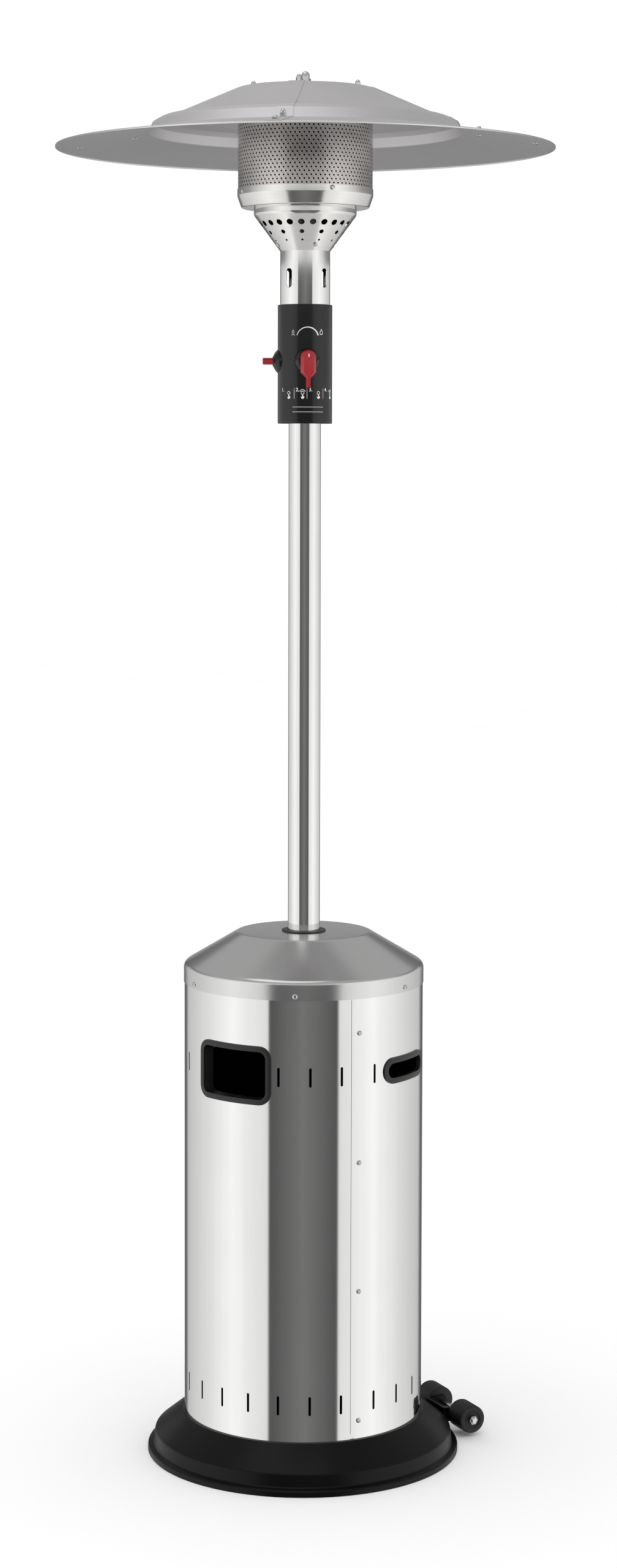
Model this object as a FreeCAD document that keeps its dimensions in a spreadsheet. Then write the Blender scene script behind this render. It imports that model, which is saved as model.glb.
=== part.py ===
import FreeCAD, Part
import math
import os
import types
import Sketcher

# A free-standing mushroom heater for gas: base, lift-up bottle housing, pole, burner head and reflector.
# Millimetres and degrees. The origin is the middle of the base on the floor, Z is up, the knob faces -Y.
# Azimuths are counted from -Y towards +X.
SIZES = {
    # Base pan, pressed from sheet
    "base_height": 66.0,
    "base_sheet": 1.5,
    "base_ledge": 3.8,
    "base_round": 3.0,
    "skirt_run": 43.0,
    "skirt_round": 5.0,
    "band_top": 32.0,
    "band_foot": 12.0,
    "band_flare": 2.0,
    "lip_flare": 9.4,
    "lip_height": 9.0,
    # Bottle housing: rolled shell with a lapped seam, pressed dome on top
    "shell_radius": 189.2,
    "shell_sheet": 0.8,
    "shell_exposed": 687.0,
    "shell_tuck": 14.0,
    "seam_azimuth": 17.7,
    "seam_gap": 0.7,
    "seam_lap": 20.0,
    "seam_corner": 9.0,
    "seam_screw_angle": 4.3,
    "seam_screw_count": 4,
    "seam_screw_foot": 29.4,
    "seam_screw_pitch": 201.5,
    "vent_width": 4.0,
    "vent_length": 30.0,
    "vent_low": 57.0,
    "vent_high": 568.5,
    "vent_first": 30.4,
    "vent_pitch": 14.9,
    "vent_count": 24,
    "sheet_gap": 0.1,
    "dome_sheet": 0.8,
    "dome_skirt": 28.6,
    "dome_rise": 50.8,
    "dome_flat": 105.0,
    "dome_round": 11.0,
    "dome_screw_azimuth": -9.0,
    "dome_screw_rise": 7.0,
    "dome_screw_count": 6,
    "guide_flange": 7.0,
    "guide_thickness": 2.0,
    "guide_wall": 2.2,
    "guide_depth": 7.0,
    "guide_gap": 0.3,
    # Plastic bezels of the housing's window and hand grips
    "bezel_proud": 2.4,
    "bezel_depth": 3.0,
    "bezel_lip": 6.0,
    "bezel_wall": 2.5,
    "window_azimuth": -41.0,
    "window_rise": 569.0,
    "window_width": 120.0,
    "window_tall": 74.0,
    "window_corner": 11.0,
    "grip_azimuth": 53.5,
    "grip_rise": 568.0,
    "grip_width": 99.5,
    "grip_tall": 23.5,
    # Struts and pole
    "strut_count": 3,
    "strut_first": 20.0,
    "strut_clear": 10.4,
    "strut_width": 24.0,
    "strut_bar": 4.0,
    "strut_foot": 20.0,
    "strut_shoulder": 12.0,
    "strut_bolt_inset": 8.5,
    "socket_drop": 20.4,
    "socket_flange": 62.0,
    "socket_plate": 5.0,
    "socket_wall": 4.0,
    "socket_depth": 62.0,
    "socket_screw_drop": 45.0,
    "pole_radius": 25.4,
    "pole_wall": 1.5,
    "pole_fit": 0.1,
    "pole_exposed": 802.1,
    "pole_tuck": 26.0,
    # Rollers on the back of the base
    "wheel_azimuth": 110.0,
    "wheel_radius": 22.5,
    "wheel_length": 44.0,
    "wheel_spacing": 66.0,
    "wheel_height": 28.0,
    "wheel_reach": 25.5,
    "wheel_round": 3.0,
    "axle_radius": 4.0,
    "axle_gap": 0.1,
    "axle_play": 0.5,
    "axle_nut": 7.5,
    "axle_nut_tall": 6.5,
    "bracket_sheet": 3.0,
    "bracket_gap": 0.5,
    "bracket_play": 1.5,
    "bracket_head": 10.0,
    "bracket_bolt_spacing": 28.0,
    # Control head
    "control_length": 185.5,
    "control_wall": 3.35,
    "control_gap": 0.3,
    "control_round": 1.2,
    "neck_radius": 39.1,
    "neck_wall": 1.0,
    "neck_exposed": 83.4,
    "neck_slot_width": 11.0,
    "neck_slot_tall": 30.0,
    "neck_slot_corner": 5.0,
    "neck_slot_rise": 40.8,
    "neck_slot_azimuth": 45.0,
    "neck_slot_count": 4,
    "adapter_plate": 12.0,
    "adapter_collar": 20.0,
    "adapter_wall": 4.0,
    "boss_height": 97.5,
    "boss_proud": 8.0,
    "boss_base": 18.25,
    "boss_tip": 8.0,
    "spindle_radius": 4.0,
    "spindle_gap": 0.05,
    "push_travel": 4.0,
    "stop_gap": 0.6,
    "knob_width": 24.0,
    "knob_crown": 4.8,
    "knob_cheek": 19.0,
    "knob_taper": 28.0,
    "knob_tip": 43.0,
    "knob_tongue": 7.3,
    "knob_depth": 15.0,
    "knob_round": 1.5,
    "knob_socket": 10.0,
    "button_radius": 5.3,
    "button_proud": 15.75,
    "button_inset": 4.2,
    "button_stem": 3.0,
    "button_gap": 0.3,
    "button_round": 1.5,
    "press_travel": 6.0,
    "valve_width": 30.0,
    "valve_depth": 34.0,
    "valve_tall": 46.0,
    "valve_nose": 9.0,
    "valve_clear": 3.0,
    "valve_bore_depth": 20.0,
    "piezo_radius": 8.5,
    "piezo_length": 20.0,
    "piezo_clear": 1.2,
    "piezo_wall": 2.0,
    "pipe_radius": 4.0,
    "pipe_wall": 1.0,
    "inlet_drop": 8.0,
    "nipple_radius": 6.58,
    "nipple_length": 18.0,
    "nipple_collar": 9.5,
    "nipple_collar_tall": 7.0,
    "injector_radius": 7.0,
    "injector_length": 18.0,
    "injector_drop": 23.4,
    "injector_jet": 0.8,
    "switch_width": 30.0,
    "switch_depth": 16.0,
    "switch_tall": 24.0,
    "switch_rise": 20.0,
    # Burner head
    "cone_rise": 55.6,
    "cone_radius": 80.3,
    "cone_rim": 11.4,
    "cone_sheet": 0.9,
    "cone_spigot": 13.0,
    "cone_hole_count": 12,
    "cone_hole_large": 5.15,
    "cone_hole_middle": 3.65,
    "cone_hole_small": 1.8,
    "cone_large_rise": 41.6,
    "cone_middle_rise": 27.6,
    "cone_small_rise": 15.3,
    "cone_hole_azimuth": -10.0,
    "cone_screw_rise": 8.6,
    "cone_screw_azimuth": 15.0,
    "cone_screw_count": 4,
    "ring_radius": 106.3,
    "ring_foot_radius": 100.0,
    "ring_shoulder": 18.6,
    "ring_height": 29.2,
    "ring_sheet": 0.9,
    "ring_round": 3.0,
    "ring_hole": 60.0,
    "ring_screw_drop": 4.6,
    "ring_screw_azimuth": 18.0,
    "ring_screw_count": 4,
    "emitter_sheet": 1.0,
    "emitter_height": 149.0,
    "emitter_margin": 22.0,
    "mesh_hole": 4.6,
    "mesh_columns": 24,
    "mesh_rows": 3,
    "mesh_row_pitch": 42.0,
    "cap_rim": 11.0,
    "cap_sheet": 0.8,
    "mixer_radius": 19.0,
    "mixer_wall": 1.5,
    "mixer_rise": 5.0,
    "mixer_flange": 8.0,
    "mixer_gap": 0.25,
    "mixer_height": 78.0,
    "plate_radius": 92.0,
    "plate_sheet": 2.0,
    "plate_rim": 8.0,
    "port_radius": 3.0,
    "port_reach": 76.0,
    "port_count": 16,
    "pilot_azimuth": -90.0,
    "pilot_reach": 58.0,
    "pilot_radius": 5.0,
    "pilot_height": 22.0,
    "probe_radius": 2.0,
    "probe_height": 40.0,
    "probe_turn": 25.0,
    "spark_radius": 3.0,
    "spark_height": 34.0,
    "spark_turn": -25.0,
    # Reflector in four lapped quarters
    "reflector_radius": 390.0,
    "reflector_sheet": 0.8,
    "rim_height": 2.5,
    "brim_rise": 21.5,
    "brim_run": 144.0,
    "step_run": 7.0,
    "step_rise": 15.0,
    "shoulder_run": 12.0,
    "shoulder_rise": 7.0,
    "ridge_run": 20.0,
    "ridge_rise": 4.0,
    "crown_run": 102.0,
    "crown_rise": 44.0,
    "lap_gap": 0.1,
    "lap_width": 23.0,
    "lap_start": 32.0,
    "lap_margin": 3.0,
    "lap_joggle": 1.6,
    "lap_azimuth": -12.0,
    "segment_gap": 0.2,
    "post_reach": 82.0,
    "post_radius": 6.0,
    "post_height": 16.2,
    "inner_bolt_inset": 120.0,
    "outer_bolt_inset": 32.0,
    "stud_radius": 5.0,
    "stud_foot": 9.0,
    "stud_foot_tall": 4.0,
    "washer_radius": 18.0,
    "washer_sheet": 2.0,
    "cap_nut_radius": 8.5,
    "cap_nut_height": 24.8,
    # Fasteners
    "bolt_radius": 3.0,
    "bolt_head": 5.2,
    "bolt_head_tall": 4.0,
    "screw_radius": 2.0,
    "screw_head": 4.0,
    "screw_head_tall": 2.0,
    "screw_length": 6.0,
    "small_bolt_radius": 2.4,
    "small_bolt_head": 5.0,
    "small_head_tall": 2.6,
    "small_nut_tall": 6.0,
    "dome_nut_tall": 12.0,
    "hole_gap": 0.2,
}

ORIGIN = -1
HORIZONTAL_AXIS = -1
VERTICAL_AXIS = -2
START = 1
END = 2
CENTRE = 3
TOUCH = 1e-6
FULL_TURN = 360
QUARTER_TURN = 90
OUTWARD = (1, 0)
UPWARD = (0, 1)
SEGMENTS = 4
HOLE_SIDES = 6
# Multiple of a height that a cut to both sides of the floor takes to pass that height
THROUGH = 3
# Share of a closed nut's height below its crown
NUT_FLATS = 0.6

doc = FreeCAD.newDocument("patio_heater")
sheet = doc.addObject("Spreadsheet::Sheet", "Sizes")
for row, (alias, number) in enumerate(SIZES.items(), start=1):
    sheet.set(f"A{row}", alias)
    sheet.set(f"B{row}", str(number))
    sheet.setAlias(f"B{row}", alias)
doc.recompute()


class Size:
    """A number that carries its formula on the sheet of sizes."""

    def __init__(self, value, text):
        self.value = value
        self.text = text

    def __add__(self, other):
        other = as_size(other)
        return Size(self.value + other.value, f"({self.text} + {other.text})")

    def __sub__(self, other):
        other = as_size(other)
        return Size(self.value - other.value, f"({self.text} - {other.text})")

    def __mul__(self, other):
        other = as_size(other)
        return Size(self.value * other.value, f"({self.text} * {other.text})")

    def __truediv__(self, other):
        other = as_size(other)
        return Size(self.value / other.value, f"({self.text} / {other.text})")

    def __radd__(self, other):
        return as_size(other) + self

    def __rsub__(self, other):
        return as_size(other) - self

    def __rmul__(self, other):
        return as_size(other) * self

    def __rtruediv__(self, other):
        return as_size(other) / self

    def __neg__(self):
        return as_size(0) - self


def as_size(amount):
    """Plain numbers join formulas as they are."""
    if isinstance(amount, Size):
        return amount
    return Size(float(amount), f"({float(amount)})")


def length_of(run, rise):
    """Length of a sloping line from its run and rise."""
    return Size(math.hypot(run.value, rise.value), f"sqrt({run.text}^2 + {rise.text}^2)")


def sine(angle):
    """Sine of an angle in degrees."""
    return Size(math.sin(math.radians(angle.value)), f"sin({angle.text})")


def cosine(angle):
    """Cosine of an angle in degrees."""
    return Size(math.cos(math.radians(angle.value)), f"cos({angle.text})")


def tie(thing, prop, amount):
    """Bind a property to a formula of the sheet's sizes."""
    thing.setExpression(prop, as_size(amount).text)


sizes = types.SimpleNamespace()
for alias in SIZES:
    setattr(sizes, alias, Size(float(sheet.get(alias)), f"Sizes.{alias}"))

# Radii and heights that several pieces share, worked out from the driving dimensions
shell_inner = sizes.shell_radius - sizes.shell_sheet
base_top_radius = sizes.shell_radius + sizes.base_ledge
band_top_radius = base_top_radius + sizes.skirt_run
band_foot_radius = band_top_radius + sizes.band_flare
band_middle = (sizes.band_top + sizes.band_foot) / 2
lip_radius = band_foot_radius + sizes.lip_flare
dome_edge = sizes.base_height + sizes.shell_exposed
shell_top = dome_edge + sizes.shell_tuck
dome_radius = sizes.shell_radius + sizes.sheet_gap + sizes.dome_sheet
dome_corner = dome_edge + sizes.dome_skirt
dome_top = dome_corner + sizes.dome_rise
dome_screw_height = dome_edge + sizes.dome_screw_rise
seam_screw_azimuth = sizes.seam_azimuth + sizes.seam_screw_angle
guide_bore = sizes.pole_radius + sizes.guide_gap
guide_outer = guide_bore + sizes.guide_wall
socket_top = dome_top - sizes.socket_drop
socket_under = socket_top - sizes.socket_plate
socket_foot = socket_top - sizes.socket_depth
socket_screw_height = socket_top - sizes.socket_screw_drop
pole_bore = sizes.pole_radius + sizes.pole_fit
pole_inner = sizes.pole_radius - sizes.pole_wall
socket_outer = pole_bore + sizes.socket_wall
strut_step = FULL_TURN / sizes.strut_count
strut_outer = shell_inner - sizes.strut_clear
strut_bolt_reach = strut_outer - sizes.strut_foot + sizes.strut_bolt_inset
strut_top_reach = sizes.socket_flange - sizes.strut_bolt_inset - sizes.strut_bar
socket_screw_azimuth = sizes.strut_first + strut_step / 2
bracket_back = band_foot_radius + sizes.bracket_gap
axle_reach = bracket_back + sizes.bracket_sheet + sizes.wheel_reach
axle_bore = sizes.axle_radius + sizes.axle_gap
control_foot = dome_top + sizes.pole_exposed
control_top = control_foot + sizes.control_length
neck_inner = sizes.neck_radius - sizes.neck_wall
neck_foot = control_foot + sizes.adapter_plate
neck_top = control_top + sizes.neck_exposed
control_bore = sizes.neck_radius + sizes.control_gap
control_radius = control_bore + sizes.control_wall
boss_level = control_foot + sizes.boss_height
boss_face = control_radius + sizes.boss_proud
valve_foot = boss_level - sizes.valve_tall / 2
valve_top = boss_level + sizes.valve_tall / 2
valve_nose_end = neck_inner - sizes.valve_clear
knob_back = boss_face + sizes.push_travel + sizes.stop_gap
inlet_end = socket_foot - sizes.inlet_drop
injector_foot = neck_top - sizes.injector_drop
cone_top = neck_top + sizes.cone_rise
cone_rim_top = cone_top + sizes.cone_rim
cone_run = sizes.cone_radius - sizes.neck_radius
cone_length = length_of(cone_run, sizes.cone_rise)
cone_normal = (sizes.cone_rise / cone_length, -cone_run / cone_length)
cone_wall = sizes.cone_sheet * cone_length / sizes.cone_rise
ring_shoulder = cone_rim_top + sizes.ring_shoulder
ring_top = cone_rim_top + sizes.ring_height
ring_screw_height = ring_top - sizes.ring_screw_drop
emitter_radius = sizes.ring_radius - sizes.ring_sheet - sizes.hole_gap
emitter_foot = ring_shoulder + sizes.hole_gap
emitter_top = emitter_foot + sizes.emitter_height
cap_radius = emitter_radius + sizes.hole_gap + sizes.cap_sheet
cap_under = emitter_top + sizes.hole_gap
cap_top = cap_under + sizes.cap_sheet
mixer_foot = neck_top + sizes.mixer_rise
mixer_top = mixer_foot + sizes.mixer_height
plate_top = mixer_top + sizes.plate_sheet
reflector_under = cap_top + sizes.post_height
reflector_top = reflector_under + sizes.reflector_sheet
lap_rise = sizes.lap_gap + sizes.reflector_sheet
lap_top = reflector_top + lap_rise
crease_height = reflector_top - sizes.crown_rise
ridge_height = crease_height - sizes.ridge_rise
shoulder_height = ridge_height - sizes.shoulder_rise
brim_top = shoulder_height - sizes.step_rise
rim_top = brim_top - sizes.brim_rise
rim_foot = rim_top - sizes.rim_height
brim_length = length_of(sizes.brim_run, sizes.brim_rise)
brim_normal = (sizes.brim_rise / brim_length, sizes.brim_run / brim_length)
lap_half = sizes.lap_width / 2
inner_bolt_reach = sizes.reflector_radius - sizes.inner_bolt_inset
outer_bolt_reach = sizes.reflector_radius - sizes.outer_bolt_inset
bolt_hole = sizes.bolt_radius + sizes.hole_gap
screw_hole = sizes.screw_radius + sizes.hole_gap
small_hole = sizes.small_bolt_radius + sizes.hole_gap
finished = []


def start_body(label, loose=False):
    """A new sub-part; a loose one may hold several separate solids."""
    body = doc.addObject("PartDesign::Body", label)
    body.AllowCompound = loose
    return body


def origin_item(body, role):
    """A plane or axis of a body's own origin."""
    return next(item for item in body.Origin.OriginFeatures if item.Role == role)


def start_sketch(body, role, azimuth=None, away=None):
    """A sketch on an origin plane, turned about the pole's axis to an azimuth or raised off the plane."""
    sketch = body.newObject("Sketcher::SketchObject", "section")
    sketch.AttachmentSupport = [(origin_item(body, role), "")]
    sketch.MapMode = "FlatFace"
    if azimuth is not None:
        angle = as_size(azimuth) - QUARTER_TURN
        upright = FreeCAD.Vector(0, 0, 1) if role == "XY_Plane" else FreeCAD.Vector(0, 1, 0)
        turn = FreeCAD.Rotation(upright, angle.value)
        sketch.AttachmentOffset = FreeCAD.Placement(FreeCAD.Vector(), turn)
        tie(sketch, "AttachmentOffset.Rotation.Angle", angle)
    if away is not None:
        tie(sketch, "AttachmentOffset.Base.z", away)
    return sketch


def at(spot):
    """A sketch point as a vector."""
    return FreeCAD.Vector(as_size(spot[0]).value, as_size(spot[1]).value, 0)


def pin(sketch, curve, end, spot):
    """Hold one point of a sketch at its two distances from the origin."""
    axes = (("DistanceX", VERTICAL_AXIS), ("DistanceY", HORIZONTAL_AXIS))
    for (kind, axis), amount in zip(axes, spot):
        amount = as_size(amount)
        if amount.value == 0:
            sketch.addConstraint(Sketcher.Constraint("PointOnObject", curve, end, axis))
        else:
            rule = Sketcher.Constraint(kind, ORIGIN, START, curve, end, amount.value)
            tie(sketch, f"Constraints[{sketch.addConstraint(rule)}]", amount)


def polygon(sketch, corners):
    """A closed outline of straight sides through pinned corners."""
    first = sketch.GeometryCount
    count = len(corners)
    for here, after in zip(corners, corners[1:] + corners[:1]):
        sketch.addGeometry(Part.LineSegment(at(here), at(after)))
    for side, corner in enumerate(corners):
        after = first + (side + 1) % count
        sketch.addConstraint(Sketcher.Constraint("Coincident", first + side, END, after, START))
        pin(sketch, first + side, START, corner)


def circle(sketch, centre, radius):
    """A pinned circle."""
    curve = sketch.addGeometry(Part.Circle(at(centre), FreeCAD.Vector(0, 0, 1), radius.value))
    pin(sketch, curve, CENTRE, centre)
    rule = Sketcher.Constraint("Radius", curve, radius.value)
    tie(sketch, f"Constraints[{sketch.addConstraint(rule)}]", radius)


def rounded(sketch, centres, radius):
    """The tight outline round equal circles at convex corners, listed anticlockwise."""
    first = sketch.GeometryCount
    count = len(centres)
    spots = [at(centre) for centre in centres]
    normals = []
    for here, after in zip(spots, spots[1:] + spots[:1]):
        along = (after - here).normalize()
        normals.append(FreeCAD.Vector(along.y, -along.x, 0))
    for index, spot in enumerate(spots):
        opening = math.atan2(normals[index - 1].y, normals[index - 1].x)
        closing = math.atan2(normals[index].y, normals[index].x)
        if closing < opening + TOUCH:
            closing += 2 * math.pi
        whole = Part.Circle(spot, FreeCAD.Vector(0, 0, 1), radius.value)
        sketch.addGeometry(Part.ArcOfCircle(whole, opening, closing))
        reach = normals[index] * radius.value
        sketch.addGeometry(Part.LineSegment(spot + reach, spots[(index + 1) % count] + reach))
    for index, centre in enumerate(centres):
        arc = first + 2 * index
        side = arc + 1
        following = first + (2 * index + 2) % (2 * count)
        sketch.addConstraint(Sketcher.Constraint("Tangent", arc, END, side, START))
        sketch.addConstraint(Sketcher.Constraint("Tangent", side, END, following, START))
        pin(sketch, arc, CENTRE, centre)
        if index:
            sketch.addConstraint(Sketcher.Constraint("Equal", first, arc))
    rule = Sketcher.Constraint("Radius", first, radius.value)
    tie(sketch, f"Constraints[{sketch.addConstraint(rule)}]", radius)


def rectangle(sketch, left, right, low, high):
    """An upright rectangle."""
    polygon(sketch, [(left, low), (right, low), (right, high), (left, high)])


def checked_cut(body, feature):
    """Make sure that a cut takes material away."""
    doc.recompute()
    if feature.Shape.Volume > feature.BaseFeature.Shape.Volume - TOUCH:
        raise RuntimeError(f"{body.Label}: {feature.Name} cuts nothing")
    return feature


def spin(body, corners, role="XZ_Plane", axis=None, cut=False, azimuth=None, sweep=FULL_TURN):
    """Turn a section about the pole's axis, or about an axis line given by two points."""
    sketch = start_sketch(body, role, azimuth)
    polygon(sketch, corners)
    line = "V_Axis"
    if axis:
        line = "Axis0"
        bar = sketch.addGeometry(Part.LineSegment(at(axis[0]), at(axis[1])), True)
        pin(sketch, bar, START, axis[0])
        pin(sketch, bar, END, axis[1])
    feature = body.newObject("PartDesign::Groove" if cut else "PartDesign::Revolution", "turned")
    feature.Profile = sketch
    feature.ReferenceAxis = (sketch, [line])
    tie(feature, "Angle", sweep)
    doc.recompute()
    return checked_cut(body, feature) if cut else feature


def pad(body, sketch, length, middle=False):
    """Raise a sketch along its normal, or to both sides."""
    feature = body.newObject("PartDesign::Pad", "raised")
    feature.Profile = sketch
    feature.SideType = "Symmetric" if middle else "One side"
    tie(feature, "Length", length)
    doc.recompute()
    return feature


def pocket(body, sketch, length, middle=False):
    """Cut a sketch into a body along its normal, or to both sides."""
    feature = body.newObject("PartDesign::Pocket", "cut")
    feature.Profile = sketch
    feature.SideType = "Symmetric" if middle else "One side"
    feature.Reversed = not middle
    tie(feature, "Length", length)
    return checked_cut(body, feature)


def repeat(body, features, count, sweep=FULL_TURN):
    """Copy features evenly round the pole's axis; a part turn runs from the first to the last."""
    feature = body.newObject("PartDesign::PolarPattern", "around")
    feature.Originals = features
    feature.Axis = (origin_item(body, "Z_Axis"), [""])
    tie(feature, "Angle", sweep)
    tie(feature, "Occurrences", count)
    body.Tip = feature
    doc.recompute()
    return feature


def leaning(seat, normal, shape):
    """Sketch points of a shape given as distances along and off a line that leaves a seat."""
    spots = []
    for along, off in shape:
        across = seat[0] + along * as_size(normal[0]) - off * as_size(normal[1])
        up = seat[1] + along * as_size(normal[1]) + off * as_size(normal[0])
        spots.append((across, up))
    return spots


def turn_on_seat(body, seat, normal, shape, azimuth=None, cut=False):
    """Turn a small half section about the line that leaves a seat."""
    corners = leaning(seat, normal, shape)
    axis = leaning(seat, normal, [(as_size(0), as_size(0)), (as_size(1), as_size(0))])
    return spin(body, corners, axis=axis, cut=cut, azimuth=azimuth)


def rod_shape(start, end, radius):
    """Half section of a plain rod along a line that leaves a seat."""
    return [(start, as_size(0)), (end, as_size(0)), (end, radius), (start, radius)]


def drill(body, seat, normal, radius, depth, azimuth=None):
    """Drill through a wall, to the same depth on both sides of a seat."""
    return turn_on_seat(body, seat, normal, rod_shape(-depth, depth, radius), azimuth, cut=True)


def pan_screw(body, seat, normal, azimuth=None):
    """A pan head screw driven into a seat."""
    tall = sizes.screw_head_tall
    head = sizes.screw_head
    none = as_size(0)
    shape = [
        (-sizes.screw_length, none),
        (tall, none),
        (tall, head / 2),
        (tall / 2, head),
        (none, head),
        (none, sizes.screw_radius),
        (-sizes.screw_length, sizes.screw_radius),
    ]
    return turn_on_seat(body, seat, normal, shape, azimuth)


def through_bolt(body, seat, normal, gripped):
    """A bolt with its nut, clamping what lies between a seat and a depth behind it."""
    tall = sizes.bolt_head_tall
    none = as_size(0)
    shape = [
        (-gripped - tall, none),
        (tall, none),
        (tall, sizes.bolt_head),
        (none, sizes.bolt_head),
        (none, sizes.bolt_radius),
        (-gripped, sizes.bolt_radius),
        (-gripped, sizes.bolt_head),
        (-gripped - tall, sizes.bolt_head),
    ]
    return turn_on_seat(body, seat, normal, shape)


def is_ring(edge, spot):
    """Whether an edge is the circle that a corner of the half section sweeps."""
    radius, height = (as_size(amount).value for amount in spot)
    box = edge.BoundBox
    level = abs(box.ZMin - height) < TOUCH and abs(box.ZMax - height) < TOUCH
    return level and hasattr(edge.Curve, "Radius") and abs(edge.Curve.Radius - radius) < TOUCH


def soften(body, base, radius, spots):
    """Round the circular edges that corners of the half section sweep."""
    edges = []
    for index, edge in enumerate(base.Shape.Edges, start=1):
        if any(is_ring(edge, spot) for spot in spots):
            edges.append(f"Edge{index}")
    return fillet(body, base, radius, edges)


def fillet(body, base, radius, edges):
    """Round chosen edges."""
    feature = body.newObject("PartDesign::Fillet", "rounded")
    feature.Base = (base, edges)
    tie(feature, "Radius", radius)
    doc.recompute()
    return feature


def hollow(body, base, gauge, level, outward=False):
    """Leave a wall of one gauge and open the flat face at a height."""
    faces = []
    for index, face in enumerate(base.Shape.Faces, start=1):
        box = face.BoundBox
        if abs(box.ZMin - level.value) < TOUCH and abs(box.ZMax - level.value) < TOUCH:
            faces.append(f"Face{index}")
    feature = body.newObject("PartDesign::Thickness", "wall")
    feature.Base = (base, faces)
    feature.Reversed = not outward
    feature.Join = "Intersection"
    tie(feature, "Value", gauge)
    doc.recompute()
    return feature


def place(body, axis, angle, x=0, y=0, z=0):
    """Turn a body about one axis and carry it to its place."""
    angle = as_size(angle)
    turn = FreeCAD.Rotation(FreeCAD.Vector(*axis), angle.value)
    body.Placement = FreeCAD.Placement(FreeCAD.Vector(), turn)
    tie(body, "Placement.Rotation.Angle", angle)
    for name, amount in (("x", x), ("y", y), ("z", z)):
        tie(body, f"Placement.Base.{name}", amount)
    doc.recompute()


def face_azimuth(body, azimuth):
    """Turn a body drawn along +X to an azimuth."""
    place(body, (0, 0, 1), as_size(azimuth) - QUARTER_TURN)


def face_front(body):
    """Lay a body drawn along +Z out to the front, at the level of the bosses."""
    place(body, (1, 0, 0), QUARTER_TURN, z=boss_level)


def face_side(body):
    """Lay a body drawn along +Z out to the side of the igniter, at the level of the bosses."""
    place(body, (0, 1, 0), -QUARTER_TURN, z=boss_level)


def combine(kind, label, pieces):
    """A boolean of several shapes."""
    feature = doc.addObject(kind, label)
    feature.Shapes = pieces
    feature.Refine = True
    doc.recompute()
    return feature


def subtract(label, base, tool):
    """One shape less another."""
    feature = doc.addObject("Part::Cut", label)
    feature.Base = base
    feature.Tool = tool
    feature.Refine = True
    doc.recompute()
    return feature


def finish(label, thing):
    """Name a sub-part and list it for writing."""
    thing.Label = label
    finished.append(thing)


def tube_section(inner, outer, foot, top):
    """Half section of a plain tube."""
    return [(inner, foot), (outer, foot), (outer, top), (inner, top)]


def tube(label, inner, outer, foot, top):
    """A plain tube about the pole's axis."""
    body = start_body(label)
    spin(body, tube_section(inner, outer, foot, top))
    return body


def make_base_pan():
    """Pressed pan: rolled lip, upright band, sloping skirt and the flat that carries bottle and housing."""
    body = start_body("base_pan")
    lip_corner = (lip_radius, sizes.lip_height)
    foot_corner = (band_foot_radius, sizes.band_foot)
    band_corner = (band_top_radius, sizes.band_top)
    top_corner = (base_top_radius, sizes.base_height)
    lip_edge = (lip_radius, 0)
    middle = [(0, sizes.base_height), (0, 0)]
    form = spin(body, middle + [lip_edge, lip_corner, foot_corner, band_corner, top_corner])
    form = soften(body, form, sizes.base_round, [lip_corner, foot_corner, top_corner])
    form = soften(body, form, sizes.skirt_round, [band_corner])
    hollow(body, form, sizes.base_sheet, as_size(0))
    back = start_sketch(body, "YZ_Plane", sizes.wheel_azimuth)
    for side in (-1, 1):
        circle(back, (sizes.bracket_bolt_spacing / 2 * side, band_middle), bolt_hole)
    pocket(body, back, lip_radius)
    flat = start_sketch(body, "XY_Plane", sizes.strut_first)
    circle(flat, (strut_bolt_reach, 0), bolt_hole)
    holes = pocket(body, flat, sizes.base_height * THROUGH, middle=True)
    repeat(body, [holes], sizes.strut_count)
    finish("base_pan", body)


def make_struts():
    """Bent bars that stand on the pan round the bottle and carry the pole's socket."""
    bar = sizes.strut_bar
    inner = strut_outer - bar
    foot = strut_outer - sizes.strut_foot
    shoulder = dome_edge + sizes.strut_shoulder
    tab = sizes.socket_flange
    tab_inner = socket_outer + bar
    foot_top = sizes.base_height + bar
    tab_under = socket_under - bar
    corners = [
        (foot, sizes.base_height),
        (strut_outer, sizes.base_height),
        (strut_outer, shoulder),
        (tab, socket_under),
        (tab_inner, socket_under),
        (tab_inner, tab_under),
        (tab - bar / 2, tab_under),
        (inner, shoulder - bar),
        (inner, foot_top),
        (foot, foot_top),
    ]
    for number in range(SIZES["strut_count"]):
        label = f"support_strut_{number + 1}"
        body = start_body(label)
        side = start_sketch(body, "XZ_Plane")
        polygon(side, corners)
        pad(body, side, sizes.strut_width, middle=True)
        flat = start_sketch(body, "XY_Plane")
        circle(flat, (strut_bolt_reach, 0), bolt_hole)
        circle(flat, (strut_top_reach, 0), bolt_hole)
        pocket(body, flat, socket_top * THROUGH, middle=True)
        face_azimuth(body, sizes.strut_first + strut_step * number)
        finish(label, body)
    bolts = start_body("strut_bolts", loose=True)
    foot_bolt = through_bolt(bolts, (strut_bolt_reach, foot_top), UPWARD, bar + sizes.base_sheet)
    top_bolt = through_bolt(bolts, (strut_top_reach, socket_top), UPWARD, bar + sizes.socket_plate)
    repeat(bolts, [foot_bolt, top_bolt], sizes.strut_count)
    face_azimuth(bolts, sizes.strut_first)
    finish("strut_bolts", bolts)


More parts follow.
